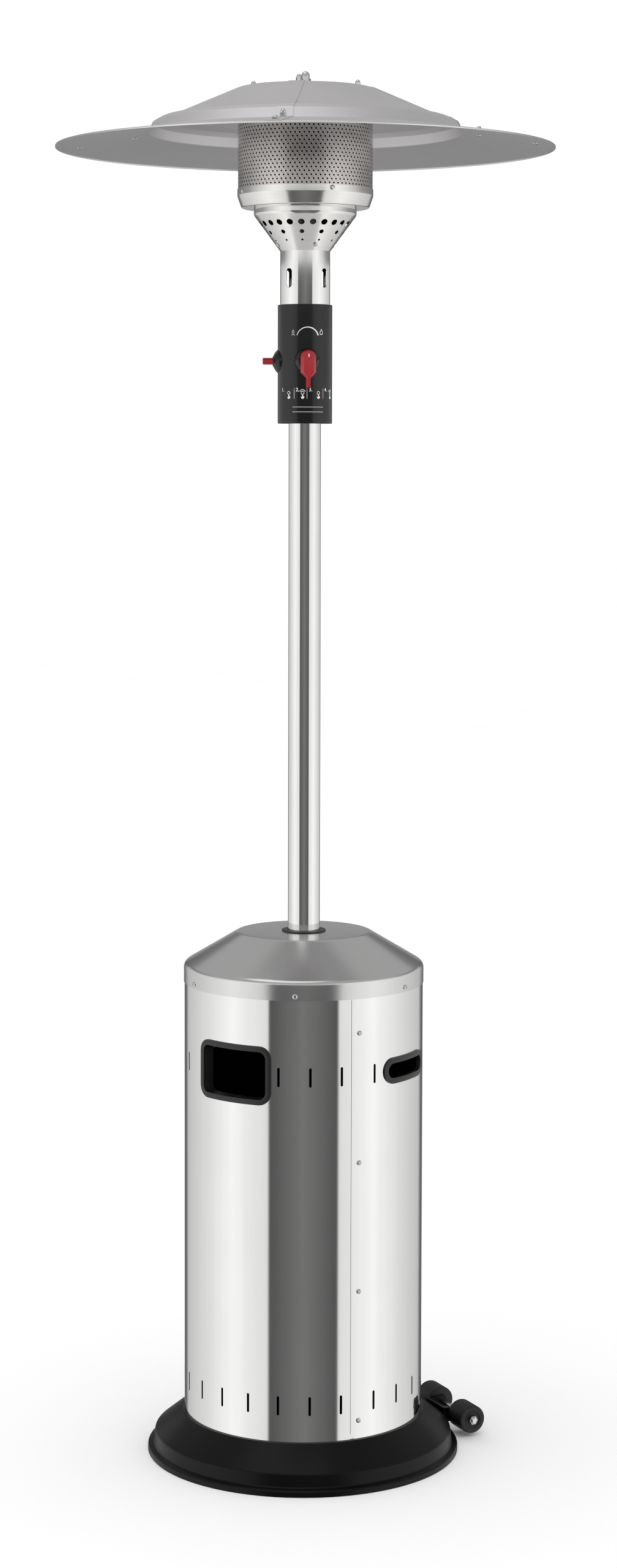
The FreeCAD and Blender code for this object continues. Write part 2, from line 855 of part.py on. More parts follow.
def make_pole():
    """Flanged socket on the struts, the pole in it and the set screws that hold it."""
    socket = start_body("pole_socket")
    spin(socket, [
        (pole_bore, socket_foot),
        (socket_outer, socket_foot),
        (socket_outer, socket_under),
        (sizes.socket_flange, socket_under),
        (sizes.socket_flange, socket_top),
        (pole_bore, socket_top),
    ])
    flat = start_sketch(socket, "XY_Plane", sizes.strut_first)
    circle(flat, (strut_top_reach, 0), bolt_hole)
    holes = pocket(socket, flat, socket_top * THROUGH, middle=True)
    repeat(socket, [holes], sizes.strut_count)
    seat = (socket_outer, socket_screw_height)
    holes = drill(socket, seat, OUTWARD, bolt_hole, sizes.socket_wall * 2, socket_screw_azimuth)
    repeat(socket, [holes], sizes.strut_count)
    finish("pole_socket", socket)
    finish("pole", tube("pole", pole_inner, sizes.pole_radius, socket_foot, control_foot + sizes.pole_tuck))
    screws = start_body("pole_screws", loose=True)
    none = as_size(0)
    tip = -sizes.socket_wall
    tall = sizes.bolt_head_tall
    shape = [
        (tip, none),
        (tall, none),
        (tall, sizes.bolt_head),
        (none, sizes.bolt_head),
        (none, sizes.bolt_radius),
        (tip, sizes.bolt_radius),
    ]
    screw = turn_on_seat(screws, seat, OUTWARD, shape, socket_screw_azimuth)
    repeat(screws, [screw], sizes.strut_count)
    finish("pole_screws", screws)


def lay_across(body):
    """Lay a body drawn along Z level, along the wheels' axle."""
    azimuth = sizes.wheel_azimuth
    level = FreeCAD.Rotation(FreeCAD.Vector(1, 0, 0), -QUARTER_TURN)
    turn = FreeCAD.Rotation(FreeCAD.Vector(0, 0, 1), azimuth.value - QUARTER_TURN)
    body.Placement = FreeCAD.Placement(FreeCAD.Vector(), turn * level)
    tie(body, "Placement.Base.x", sine(azimuth) * axle_reach)
    tie(body, "Placement.Base.y", -cosine(azimuth) * axle_reach)
    tie(body, "Placement.Base.z", sizes.wheel_height)
    doc.recompute()


def make_wheels():
    """Bracket on the pan's band with an axle and two rollers that meet the floor when the heater is tipped."""
    near = sizes.wheel_spacing / 2
    far = near + sizes.wheel_length
    half = near - sizes.bracket_play
    foot = sizes.band_foot + sizes.bracket_play
    head = sizes.bracket_head
    seat = bracket_back + sizes.bracket_sheet
    offset = sizes.bracket_bolt_spacing / 2
    bracket = start_body("wheel_bracket")
    side_view = start_sketch(bracket, "XZ_Plane")
    polygon(side_view, [
        (bracket_back, foot),
        (axle_reach, sizes.wheel_height - head),
        (axle_reach + head, sizes.wheel_height),
        (axle_reach + head / 2, sizes.wheel_height + head),
        (bracket_back, sizes.wheel_height + head),
    ])
    pad(bracket, side_view, half * 2, middle=True)
    plan = start_sketch(bracket, "XY_Plane")
    rectangle(plan, seat, axle_reach + head * 2, sizes.bracket_sheet - half, half - sizes.bracket_sheet)
    pocket(bracket, plan, sizes.wheel_height * THROUGH, middle=True)
    bore = start_sketch(bracket, "XZ_Plane")
    circle(bore, (axle_reach, sizes.wheel_height), axle_bore)
    pocket(bracket, bore, half * THROUGH, middle=True)
    back = start_sketch(bracket, "YZ_Plane")
    bolts = start_body("bracket_bolts", loose=True)
    shanks = start_sketch(bolts, "YZ_Plane", away=band_top_radius - sizes.base_sheet * 2)
    heads = start_sketch(bolts, "YZ_Plane", away=seat)
    for side in (-1, 1):
        circle(back, (offset * side, band_middle), bolt_hole)
        circle(shanks, (offset * side, band_middle), sizes.bolt_radius)
        circle(heads, (offset * side, band_middle), sizes.bolt_head)
    pocket(bracket, back, axle_reach)
    face_azimuth(bracket, sizes.wheel_azimuth)
    finish("wheel_bracket", bracket)
    pad(bolts, shanks, seat - band_top_radius + sizes.base_sheet * 2)
    pad(bolts, heads, sizes.bolt_head_tall)
    face_azimuth(bolts, sizes.wheel_azimuth)
    finish("bracket_bolts", bolts)
    axle_end = far + sizes.axle_play
    axle = start_body("wheel_axle")
    spin(axle, [(0, -axle_end), (sizes.axle_radius, -axle_end), (sizes.axle_radius, axle_end), (0, axle_end)])
    lay_across(axle)
    finish("wheel_axle", axle)
    nuts = start_body("axle_nuts", loose=True)
    crown = axle_end + sizes.axle_nut_tall
    for side in (-1, 1):
        spin(nuts, [
            (0, axle_end * side),
            (sizes.axle_nut, axle_end * side),
            (sizes.axle_nut, (axle_end + crown) / 2 * side),
            (sizes.axle_nut / 2, crown * side),
            (0, crown * side),
        ])
    lay_across(nuts)
    finish("axle_nuts", nuts)
    for label, side in (("wheel_front", -1), ("wheel_rear", 1)):
        wheel = start_body(label)
        form = spin(wheel, tube_section(axle_bore, sizes.wheel_radius, near * side, far * side))
        rims = [(sizes.wheel_radius, near * side), (sizes.wheel_radius, far * side)]
        soften(wheel, form, sizes.wheel_round, rims)
        lay_across(wheel)
        finish(label, wheel)


def window_outline(sketch, margin):
    """Rounded rectangle of the window, grown by a margin."""
    corner = sizes.window_corner
    across = sizes.window_width / 2 - corner
    up = sizes.window_tall / 2 - corner
    middle = sizes.base_height + sizes.window_rise
    corners = [(-across, middle - up), (across, middle - up), (across, middle + up), (-across, middle + up)]
    rounded(sketch, corners, corner + margin)


def grip_outline(sketch, margin):
    """Lying slot of a hand grip, grown by a margin."""
    end = sizes.grip_tall / 2
    across = sizes.grip_width / 2 - end
    middle = sizes.base_height + sizes.grip_rise
    rounded(sketch, [(-across, middle), (across, middle)], end + margin)


BEZELS = {
    "window_frame": (window_outline, sizes.window_azimuth),
    "grip_frame_right": (grip_outline, sizes.grip_azimuth),
    "grip_frame_left": (grip_outline, sizes.grip_azimuth + FULL_TURN / 2),
}


def make_housing_shell():
    """Rolled sheet with a lapped seam, two rows of vents, a window and two hand grips."""
    body = start_body("shell_blank")
    spin(body, tube_section(shell_inner, sizes.shell_radius, sizes.base_height, shell_top))
    seam = start_sketch(body, "YZ_Plane", sizes.seam_azimuth)
    corner_top = sizes.base_height + sizes.seam_corner
    polygon(seam, [
        (0, sizes.base_height - sizes.base_sheet),
        (sizes.seam_corner, sizes.base_height - sizes.base_sheet),
        (sizes.seam_gap, corner_top),
        (sizes.seam_gap, shell_top + sizes.base_sheet),
        (0, shell_top + sizes.base_sheet),
    ])
    pocket(body, seam, lip_radius)
    lap = tube_section(shell_inner - sizes.shell_sheet, shell_inner, sizes.base_height, shell_top)
    spin(body, lap, azimuth=sizes.seam_azimuth - sizes.seam_lap / 2, sweep=sizes.seam_lap)
    for outline, azimuth in BEZELS.values():
        opening = start_sketch(body, "YZ_Plane", azimuth)
        outline(opening, sizes.bezel_wall + sizes.hole_gap)
        pocket(body, opening, lip_radius)
    screws = start_body("seam_screws", loose=True)
    for number in range(SIZES["seam_screw_count"]):
        height = sizes.base_height + sizes.seam_screw_foot + sizes.seam_screw_pitch * number
        seat = (sizes.shell_radius, height)
        drill(body, seat, OUTWARD, screw_hole, sizes.screw_length, seam_screw_azimuth)
        pan_screw(screws, seat, OUTWARD, seam_screw_azimuth)
    seat = (sizes.shell_radius, dome_screw_height)
    holes = drill(body, seat, OUTWARD, screw_hole, sizes.screw_length, sizes.dome_screw_azimuth)
    repeat(body, [holes], sizes.dome_screw_count)
    finish("housing_shell", subtract("housing_shell", body, vent_cutters()))
    finish("seam_screws", screws)


def vent_cutters():
    """Two rows of round-ended slots, evenly spaced from one side of the seam to the other."""
    cutters = start_body("vent_cutters", loose=True)
    margin = sizes.screw_length
    slots = start_sketch(cutters, "YZ_Plane", away=shell_inner - margin)
    reach = (sizes.vent_length - sizes.vent_width) / 2
    for rise in (sizes.vent_low, sizes.vent_high):
        middle = sizes.base_height + rise
        rounded(slots, [(0, middle - reach), (0, middle + reach)], sizes.vent_width / 2)
    slot = pad(cutters, slots, sizes.shell_sheet + margin * 2)
    repeat(cutters, [slot], sizes.vent_count, sizes.vent_pitch * (sizes.vent_count - 1))
    face_azimuth(cutters, sizes.vent_first)
    return cutters


def make_housing_dome():
    """Pressed dome over the shell with its screws, and the bush that rides on the pole."""
    body = start_body("housing_dome")
    corner = (dome_radius, dome_corner)
    flat_corner = (sizes.dome_flat, dome_top)
    form = spin(body, [(0, dome_edge), (dome_radius, dome_edge), corner, flat_corner, (0, dome_top)])
    form = soften(body, form, sizes.dome_round, [corner, flat_corner])
    hollow(body, form, sizes.dome_sheet, dome_edge)
    flat = start_sketch(body, "XY_Plane")
    circle(flat, (0, 0), guide_outer + sizes.hole_gap)
    pocket(body, flat, dome_top * THROUGH, middle=True)
    seat = (dome_radius, dome_screw_height)
    holes = drill(body, seat, OUTWARD, screw_hole, sizes.screw_length, sizes.dome_screw_azimuth)
    repeat(body, [holes], sizes.dome_screw_count)
    finish("housing_dome", body)
    screws = start_body("dome_screws", loose=True)
    screw = pan_screw(screws, seat, OUTWARD, sizes.dome_screw_azimuth)
    repeat(screws, [screw], sizes.dome_screw_count)
    finish("dome_screws", screws)
    ring = start_body("guide_ring")
    flange = guide_outer + sizes.guide_flange
    spin(ring, [
        (guide_bore, dome_top - sizes.guide_depth),
        (guide_outer, dome_top - sizes.guide_depth),
        (guide_outer, dome_top),
        (flange, dome_top),
        (flange, dome_top + sizes.guide_thickness),
        (guide_bore, dome_top + sizes.guide_thickness),
    ])
    finish("guide_ring", ring)


def make_bezels():
    """Plastic frames that follow the shell: a lip outside it and a wall through its cut-out."""
    seat = sizes.shell_radius + sizes.sheet_gap
    layers = (
        ("lip", sizes.bezel_wall + sizes.bezel_lip, seat, seat + sizes.bezel_proud),
        ("wall", sizes.bezel_wall, shell_inner - sizes.bezel_depth, seat),
    )
    for label, (outline, azimuth) in BEZELS.items():
        pieces = []
        for name, margin, inner, outer in layers:
            prism = start_body(f"{label}_{name}_outline")
            sketch = start_sketch(prism, "YZ_Plane", azimuth)
            outline(sketch, margin)
            outline(sketch, as_size(0))
            pad(prism, sketch, lip_radius)
            curve = tube(f"{label}_{name}_curve", inner, outer, sizes.base_height, shell_top)
            pieces.append(combine("Part::MultiCommon", f"{label}_{name}", [prism, curve]))
        finish(label, combine("Part::MultiFuse", label, pieces))


def make_control_head():
    """Sleeve with two bosses over the neck tube, on an adapter that closes the pole's top."""
    adapter = start_body("pole_adapter")
    collar = pole_bore + sizes.adapter_wall
    spin(adapter, [
        (pole_bore, control_foot),
        (sizes.neck_radius, control_foot),
        (sizes.neck_radius, neck_foot),
        (collar, neck_foot),
        (collar, neck_foot + sizes.adapter_collar),
        (pole_bore, neck_foot + sizes.adapter_collar),
    ])
    finish("pole_adapter", adapter)
    neck = tube("neck_tube", neck_inner, sizes.neck_radius, neck_foot, neck_top)
    slot = start_sketch(neck, "YZ_Plane", sizes.neck_slot_azimuth)
    corner = sizes.neck_slot_corner
    across = sizes.neck_slot_width / 2 - corner
    up = sizes.neck_slot_tall / 2 - corner
    middle = control_top + sizes.neck_slot_rise
    low = middle - up
    high = middle + up
    rounded(slot, [(-across, low), (across, low), (across, high), (-across, high)], corner)
    slots = pocket(neck, slot, lip_radius)
    repeat(neck, [slots], sizes.neck_slot_count)
    front = start_sketch(neck, "XZ_Plane")
    circle(front, (0, boss_level), sizes.spindle_radius + sizes.control_gap)
    pocket(neck, front, lip_radius)
    side = start_sketch(neck, "YZ_Plane", -QUARTER_TURN)
    circle(side, (0, boss_level), sizes.button_stem + sizes.button_gap)
    pocket(neck, side, lip_radius)
    finish("neck_tube", neck)
    sleeve = start_body("control_housing")
    form = spin(sleeve, tube_section(as_size(0), control_radius, control_foot, control_top))
    soften(sleeve, form, sizes.control_round, [(control_radius, control_foot), (control_radius, control_top)])
    for role in ("YZ_Plane", "XZ_Plane"):
        boss = [
            (as_size(0), boss_level),
            (as_size(0), boss_level + sizes.boss_base),
            (-control_bore + sizes.control_wall, boss_level + sizes.boss_base),
            (-boss_face, boss_level + sizes.boss_tip),
            (-boss_face, boss_level),
        ]
        spin(sleeve, boss, role, axis=[(0, boss_level), (-boss_face, boss_level)])
    spin(sleeve, tube_section(as_size(0), control_bore, control_foot, control_top), cut=True)
    front = start_sketch(sleeve, "XZ_Plane")
    circle(front, (0, boss_level), sizes.spindle_radius + sizes.control_gap)
    pocket(sleeve, front, lip_radius)
    side = start_sketch(sleeve, "YZ_Plane", -QUARTER_TURN)
    circle(side, (0, boss_level), sizes.button_radius + sizes.button_gap)
    pocket(sleeve, side, lip_radius)
    finish("control_housing", sleeve)


def make_gas_line():
    """Gas inlet up the pole, valve behind the knob, and the pipe with its jet below the burner."""
    bore = sizes.pipe_radius - sizes.pipe_wall
    valve = start_body("gas_valve")
    block = start_sketch(valve, "XY_Plane", away=valve_foot)
    half_depth = sizes.valve_depth / 2
    rectangle(block, -sizes.valve_width / 2, sizes.valve_width / 2, -half_depth, half_depth)
    pad(valve, block, sizes.valve_tall)
    nose_top = boss_level + sizes.valve_nose
    axis = [(0, boss_level), (-valve_nose_end, boss_level)]
    spin(valve, [
        (0, boss_level),
        (0, nose_top),
        (-valve_nose_end, nose_top),
        (-valve_nose_end, boss_level),
    ], "YZ_Plane", axis)
    bore_end = sizes.valve_bore_depth - valve_nose_end
    bore_top = boss_level + sizes.spindle_radius + sizes.spindle_gap
    spin(valve, [
        (bore_end, boss_level),
        (bore_end, bore_top),
        (-valve_nose_end, bore_top),
        (-valve_nose_end, boss_level),
    ], "YZ_Plane", axis, cut=True)
    finish("gas_valve", valve)
    finish("gas_inlet_pipe", tube("gas_inlet_pipe", bore, sizes.pipe_radius, inlet_end, valve_foot))
    nipple = start_body("hose_nipple")
    collar_foot = inlet_end - sizes.nipple_collar_tall
    nipple_foot = collar_foot - sizes.nipple_length
    spin(nipple, [
        (bore, nipple_foot),
        (sizes.nipple_radius, nipple_foot),
        (sizes.nipple_radius, collar_foot),
        (sizes.nipple_collar, collar_foot),
        (sizes.nipple_collar, inlet_end),
        (bore, inlet_end),
    ])
    finish("hose_nipple", nipple)
    finish("burner_feed_pipe", tube("burner_feed_pipe", bore, sizes.pipe_radius, valve_top, injector_foot))
    jet = start_body("gas_injector")
    jet_top = injector_foot + sizes.injector_length
    spin(jet, [
        (bore, injector_foot),
        (sizes.injector_radius, injector_foot),
        (sizes.injector_radius, jet_top - sizes.injector_radius),
        (sizes.pipe_radius, jet_top),
        (sizes.injector_jet, jet_top),
        (sizes.injector_jet, jet_top - sizes.injector_radius),
    ])
    finish("gas_injector", jet)
    switch = start_body("tilt_switch")
    plan = start_sketch(switch, "XY_Plane", away=valve_top + sizes.switch_rise)
    half_switch = sizes.switch_depth / 2
    rectangle(plan, -half_switch, sizes.switch_width - half_switch, -half_switch, half_switch)
    circle(plan, (0, 0), sizes.pipe_radius + sizes.hole_gap)
    pad(switch, plan, sizes.switch_tall)
    finish("tilt_switch", switch)


def make_controls():
    """Knob on its spindle, igniter button and the igniter that it strikes."""
    spindle = start_body("valve_spindle")
    inner_end = valve_nose_end - sizes.valve_bore_depth + sizes.push_travel + sizes.stop_gap
    socket_end = knob_back + sizes.knob_socket
    spin(spindle, tube_section(as_size(0), sizes.spindle_radius, inner_end, socket_end - sizes.hole_gap))
    face_front(spindle)
    finish("valve_spindle", spindle)
    knob = start_body("control_knob")
    half = sizes.knob_width / 2
    tongue = sizes.knob_tongue / 2
    lever = start_sketch(knob, "XZ_Plane")
    polygon(lever, [
        (-half, sizes.knob_crown),
        (-half, -sizes.knob_cheek),
        (-tongue, -sizes.knob_taper),
        (-tongue, -sizes.knob_tip),
        (tongue, -sizes.knob_tip),
        (tongue, -sizes.knob_taper),
        (half, -sizes.knob_cheek),
        (half, sizes.knob_crown),
    ])
    pad(knob, lever, sizes.knob_depth)
    crown = start_sketch(knob, "XZ_Plane")
    circle(crown, (0, sizes.knob_crown), half)
    form = pad(knob, crown, sizes.knob_depth)
    front = -sizes.knob_depth.value
    edges = []
    for index, edge in enumerate(form.Shape.Edges, start=1):
        if abs(edge.BoundBox.YMax - front) < TOUCH:
            edges.append(f"Edge{index}")
    fillet(knob, form, sizes.knob_round, edges)
    bore = start_sketch(knob, "XZ_Plane")
    circle(bore, (0, 0), sizes.spindle_radius + sizes.spindle_gap)
    pocket(knob, bore, sizes.knob_socket)
    place(knob, (0, 0, 1), 0, y=-knob_back, z=boss_level)
    finish("control_knob", knob)
    button = start_body("igniter_button")
    skirt = boss_face - sizes.button_inset
    face = boss_face + sizes.button_proud
    piezo_front = neck_inner - sizes.piezo_clear
    piezo_back = piezo_front - sizes.piezo_length
    stem_end = piezo_back + sizes.piezo_wall + sizes.press_travel + sizes.stop_gap
    form = spin(button, [
        (0, stem_end),
        (sizes.button_stem, stem_end),
        (sizes.button_stem, skirt),
        (sizes.button_radius, skirt),
        (sizes.button_radius, face),
        (0, face),
    ])
    soften(button, form, sizes.button_round, [(sizes.button_radius, face)])
    face_side(button)
    finish("igniter_button", button)
    piezo = start_body("piezo_igniter")
    stem_bore = sizes.button_stem + sizes.spindle_gap
    spin(piezo, [
        (0, piezo_back),
        (sizes.piezo_radius, piezo_back),
        (sizes.piezo_radius, piezo_front),
        (stem_bore, piezo_front),
        (stem_bore, piezo_back + sizes.piezo_wall),
        (0, piezo_back + sizes.piezo_wall),
    ])
    face_side(piezo)
    finish("piezo_igniter", piezo)


def cone_seat(rise):
    """A point on the outside of the burner cone at a height above the neck."""
    return (sizes.neck_radius + cone_run * rise / sizes.cone_rise, neck_top + rise)


def make_burner():
    """Pierced cone, pressed ring, mixing tube and the burner plate with pilot, probe and electrode."""
    cone = start_body("cone_blank")
    spigot = neck_inner - sizes.sheet_gap
    spigot_inner = spigot - sizes.cone_sheet
    slope = sizes.cone_rise / cone_run
    rim_inner = sizes.cone_radius - sizes.cone_sheet
    spin(cone, [
        (spigot_inner, neck_top - sizes.cone_spigot),
        (spigot, neck_top - sizes.cone_spigot),
        (spigot, neck_top),
        (sizes.neck_radius, neck_top),
        (sizes.cone_radius, cone_top),
        (sizes.cone_radius, cone_rim_top),
        (rim_inner, cone_rim_top),
        (rim_inner, cone_top + (cone_wall - sizes.cone_sheet) * slope),
        (spigot_inner, neck_top + (spigot_inner - sizes.neck_radius + cone_wall) * slope),
    ])
    rows = (
        (sizes.cone_large_rise, sizes.cone_hole_large, sizes.cone_hole_count * 2),
        (sizes.cone_middle_rise, sizes.cone_hole_middle, sizes.cone_hole_count),
        (sizes.cone_small_rise, sizes.cone_hole_small, sizes.cone_hole_count),
    )
    depth = sizes.cone_sheet * 2
    cutters = start_body("cone_cutters", loose=True)
    for rise, radius, count in rows:
        shape = rod_shape(-depth, depth, radius)
        hole = turn_on_seat(cutters, cone_seat(rise), cone_normal, shape, sizes.cone_hole_azimuth)
        repeat(cutters, [hole], count)
    seat = cone_seat(sizes.cone_screw_rise)
    holes = drill(cone, seat, cone_normal, screw_hole, depth, sizes.cone_screw_azimuth)
    repeat(cone, [holes], sizes.cone_screw_count)
    finish("burner_cone", subtract("burner_cone", cone, cutters))
    screws = start_body("cone_screws", loose=True)
    screw = pan_screw(screws, seat, cone_normal, sizes.cone_screw_azimuth)
    repeat(screws, [screw], sizes.cone_screw_count)
    finish("cone_screws", screws)

    ring = start_body("burner_ring")
    foot_corner = (sizes.ring_foot_radius, cone_rim_top)
    form = spin(ring, [
        (0, cone_rim_top),
        foot_corner,
        (sizes.ring_radius, ring_shoulder),
        (sizes.ring_radius, ring_top),
        (0, ring_top),
    ])
    form = soften(ring, form, sizes.ring_round, [foot_corner])
    hollow(ring, form, sizes.ring_sheet, ring_top)
    flat = start_sketch(ring, "XY_Plane")
    circle(flat, (0, 0), sizes.ring_hole)
    pocket(ring, flat, ring_top * THROUGH, middle=True)
    seat = (sizes.ring_radius, ring_screw_height)
    holes = drill(ring, seat, OUTWARD, screw_hole, sizes.screw_length, sizes.ring_screw_azimuth)
    repeat(ring, [holes], sizes.ring_screw_count)
    finish("burner_ring", ring)
    screws = start_body("ring_screws", loose=True)
    screw = pan_screw(screws, seat, OUTWARD, sizes.ring_screw_azimuth)
    repeat(screws, [screw], sizes.ring_screw_count)
    finish("ring_screws", screws)

    mixer = start_body("mixing_tube")
    mixer_inner = sizes.mixer_radius - sizes.mixer_wall
    flange_rise = sizes.mixer_rise + sizes.mixer_flange
    inset = cone_wall + sizes.mixer_gap
    spin(mixer, [
        (mixer_inner, mixer_foot),
        (cone_seat(sizes.mixer_rise)[0] - inset, mixer_foot),
        (cone_seat(flange_rise)[0] - inset, neck_top + flange_rise),
        (sizes.mixer_radius, neck_top + flange_rise),
        (sizes.mixer_radius, mixer_top),
        (mixer_inner, mixer_top),
    ])
    seat = cone_seat(sizes.cone_screw_rise)
    holes = drill(mixer, seat, cone_normal, screw_hole, sizes.screw_length * 2, sizes.cone_screw_azimuth)
    repeat(mixer, [holes], sizes.cone_screw_count)
    finish("mixing_tube", mixer)
    plate = start_body("burner_plate")
    spin(plate, [
        (mixer_inner, mixer_top),
        (sizes.plate_radius, mixer_top),
        (sizes.plate_radius, mixer_top + sizes.plate_rim),
        (sizes.plate_radius - sizes.plate_sheet, mixer_top + sizes.plate_rim),
        (sizes.plate_radius - sizes.plate_sheet, plate_top),
        (mixer_inner, plate_top),
    ])
    flat = start_sketch(plate, "XY_Plane")
    circle(flat, (sizes.port_reach, 0), sizes.port_radius)
    ports = pocket(plate, flat, plate_top * THROUGH, middle=True)
    repeat(plate, [ports], sizes.port_count)
    finish("burner_plate", plate)
    stalks = (
        ("pilot_burner", sizes.pilot_radius, sizes.pilot_height, as_size(0)),
        ("thermocouple", sizes.probe_radius, sizes.probe_height, sizes.probe_turn),
        ("spark_electrode", sizes.spark_radius, sizes.spark_height, sizes.spark_turn),
    )
    for label, radius, height, turn in stalks:
        stalk = start_body(label)
        seat = (sizes.pilot_reach, plate_top)
        shape = [
            (as_size(0), as_size(0)),
            (as_size(0), radius),
            (height - radius, radius),
            (height, radius / 2),
            (height, as_size(0)),
        ]
        turn_on_seat(stalk, seat, UPWARD, shape, sizes.pilot_azimuth + turn)
        finish(label, stalk)


def mesh_cutters(row_shift, azimuth):
    """Every other row of the emitter's holes, as six-sided rods through the wall."""
    cutters = start_body("mesh_cutters", loose=True)
    margin = sizes.screw_length
    side = start_sketch(cutters, "YZ_Plane", away=emitter_radius - margin)
    for number in range(SIZES["mesh_rows"]):
        middle = emitter_foot + sizes.emitter_margin + sizes.mesh_row_pitch * (number + row_shift)
        corners = []
        for turn in range(HOLE_SIDES):
            angle = as_size(FULL_TURN / HOLE_SIDES * (turn + 1 / 2))
            corners.append((sizes.mesh_hole * cosine(angle), middle + sizes.mesh_hole * sine(angle)))
        polygon(side, corners)
    rods = pad(cutters, side, margin * 2)
    repeat(cutters, [rods], sizes.mesh_columns)
    face_azimuth(cutters, azimuth)
    return cutters


def make_emitter():
    """Perforated cylinder that glows, with staggered six-sided holes, and the cap on it."""
    emitter_inner = emitter_radius - sizes.emitter_sheet
    screen = tube("emitter_blank", emitter_inner, emitter_radius, emitter_foot, emitter_top)
    seat = (emitter_radius, ring_screw_height)
    holes = drill(screen, seat, OUTWARD, screw_hole, sizes.screw_length, sizes.ring_screw_azimuth)
    repeat(screen, [holes], sizes.ring_screw_count)
    half_column = FULL_TURN / sizes.mesh_columns / 2
    for shift in (0, 1):
        screen = subtract(f"emitter_cut_{shift + 1}", screen, mesh_cutters(shift / 2, half_column * shift))
    finish("emitter_screen", screen)
    cap = start_body("burner_cap")
    rim = cap_top - sizes.cap_rim
    form = spin(cap, [(0, rim), (cap_radius, rim), (cap_radius, cap_top), (0, cap_top)])
    hollow(cap, form, sizes.cap_sheet, rim)
    flat = start_sketch(cap, "XY_Plane", sizes.lap_azimuth)
    circle(flat, (sizes.post_reach, 0), small_hole)
    holes = pocket(cap, flat, cap_top * THROUGH, middle=True)
    repeat(cap, [holes], as_size(SEGMENTS))
    finish("burner_cap", cap)


def reflector_profile(grow):
    """Half outline from the rim over brim, step, shoulder and cone to the crown, grown up and outwards."""
    radius = sizes.reflector_radius + grow
    outline = [(radius, rim_foot), (radius, rim_top + grow)]
    slopes = (
        (sizes.brim_run, brim_top),
        (sizes.step_run, shoulder_height),
        (sizes.shoulder_run, ridge_height),
        (sizes.ridge_run, crease_height),
        (sizes.crown_run, reflector_top),
    )
    for run, height in slopes:
        radius = radius - run
        outline.append((radius, height + grow))
    outline.append((lap_half / 2, reflector_top + grow))
    return outline


def reflector_sheet(label, inner, outer):
    """Sheet metal between two growths of the reflector's outline."""
    body = start_body(label)
    spin(body, reflector_profile(inner) + reflector_profile(outer)[::-1])
    return body


def slab(label, left, right, low, high, azimuth):
    """A tall block over a rectangle seen from above, turned to an azimuth."""
    body = start_body(label)
    sketch = start_sketch(body, "XY_Plane")
    rectangle(sketch, left, right, low, high)
    pad(body, sketch, lap_top * THROUGH, middle=True)
    face_azimuth(body, azimuth)
    return body


def spread(normal):
    """How far along its normal a sheet moves when its outline is grown by one."""
    return as_size(normal[0]) + as_size(normal[1])


def brim_seat(reach):
    """A point on the top of the brim at a distance from the pole."""
    return (reach, rim_top + (sizes.reflector_radius - reach) * sizes.brim_rise / sizes.brim_run)


def make_reflector():
    """Four pressed quarters; each laps over the next along a straight strip that is bolted down."""
    level = as_size(0)
    inside = reflector_sheet("reflector_inside", level - sizes.reflector_sheet, level)
    double = reflector_sheet("reflector_double", level - sizes.reflector_sheet, lap_rise)
    strip = reflector_sheet("reflector_strip", sizes.lap_gap, lap_rise)
    drills = start_body("reflector_drills", loose=True)
    depth = sizes.dome_nut_tall
    tools = []
    seats = [((sizes.post_reach, reflector_top), UPWARD)]
    for reach in (inner_bolt_reach, outer_bolt_reach):
        seats.append((brim_seat(reach), brim_normal))
    for seat, normal in seats:
        tools.append(turn_on_seat(drills, seat, normal, rod_shape(-depth, depth, small_hole)))
    repeat(drills, tools, as_size(SEGMENTS))
    face_azimuth(drills, sizes.lap_azimuth)
    radius = sizes.reflector_radius
    end = radius - sizes.lap_margin
    for number in range(SEGMENTS):
        label = f"reflector_segment_{number + 1}"
        azimuth = sizes.lap_azimuth + QUARTER_TURN * number
        seam = sizes.segment_gap - lap_half
        bend = -lap_half - sizes.lap_joggle
        cuts = (
            (inside, slab(f"{label}_quarter", seam, radius, -radius, -lap_half, azimuth)),
            (double, slab(f"{label}_bend", sizes.lap_start, end, bend, -lap_half, azimuth)),
            (strip, slab(f"{label}_lap", sizes.lap_start, end, -lap_half, lap_half, azimuth)),
        )
        pieces = []
        for source, block in cuts:
            pieces.append(combine("Part::MultiCommon", f"{block.Label}_sheet", [source, block]))
        whole = combine("Part::MultiFuse", f"{label}_blank", pieces)
        finish(label, subtract(label, whole, drills))


def nut_shape(seat, tall, bolt_end):
    """Half section of a closed nut over a bolt's end."""
    none = as_size(0)
    head = sizes.small_bolt_head
    return [
        (seat, small_hole),
        (seat, head),
        (seat + tall * NUT_FLATS, head),
        (seat + tall, head / 2),
        (seat + tall, none),
        (bolt_end + sizes.hole_gap, none),
        (bolt_end + sizes.hole_gap, small_hole),
    ]


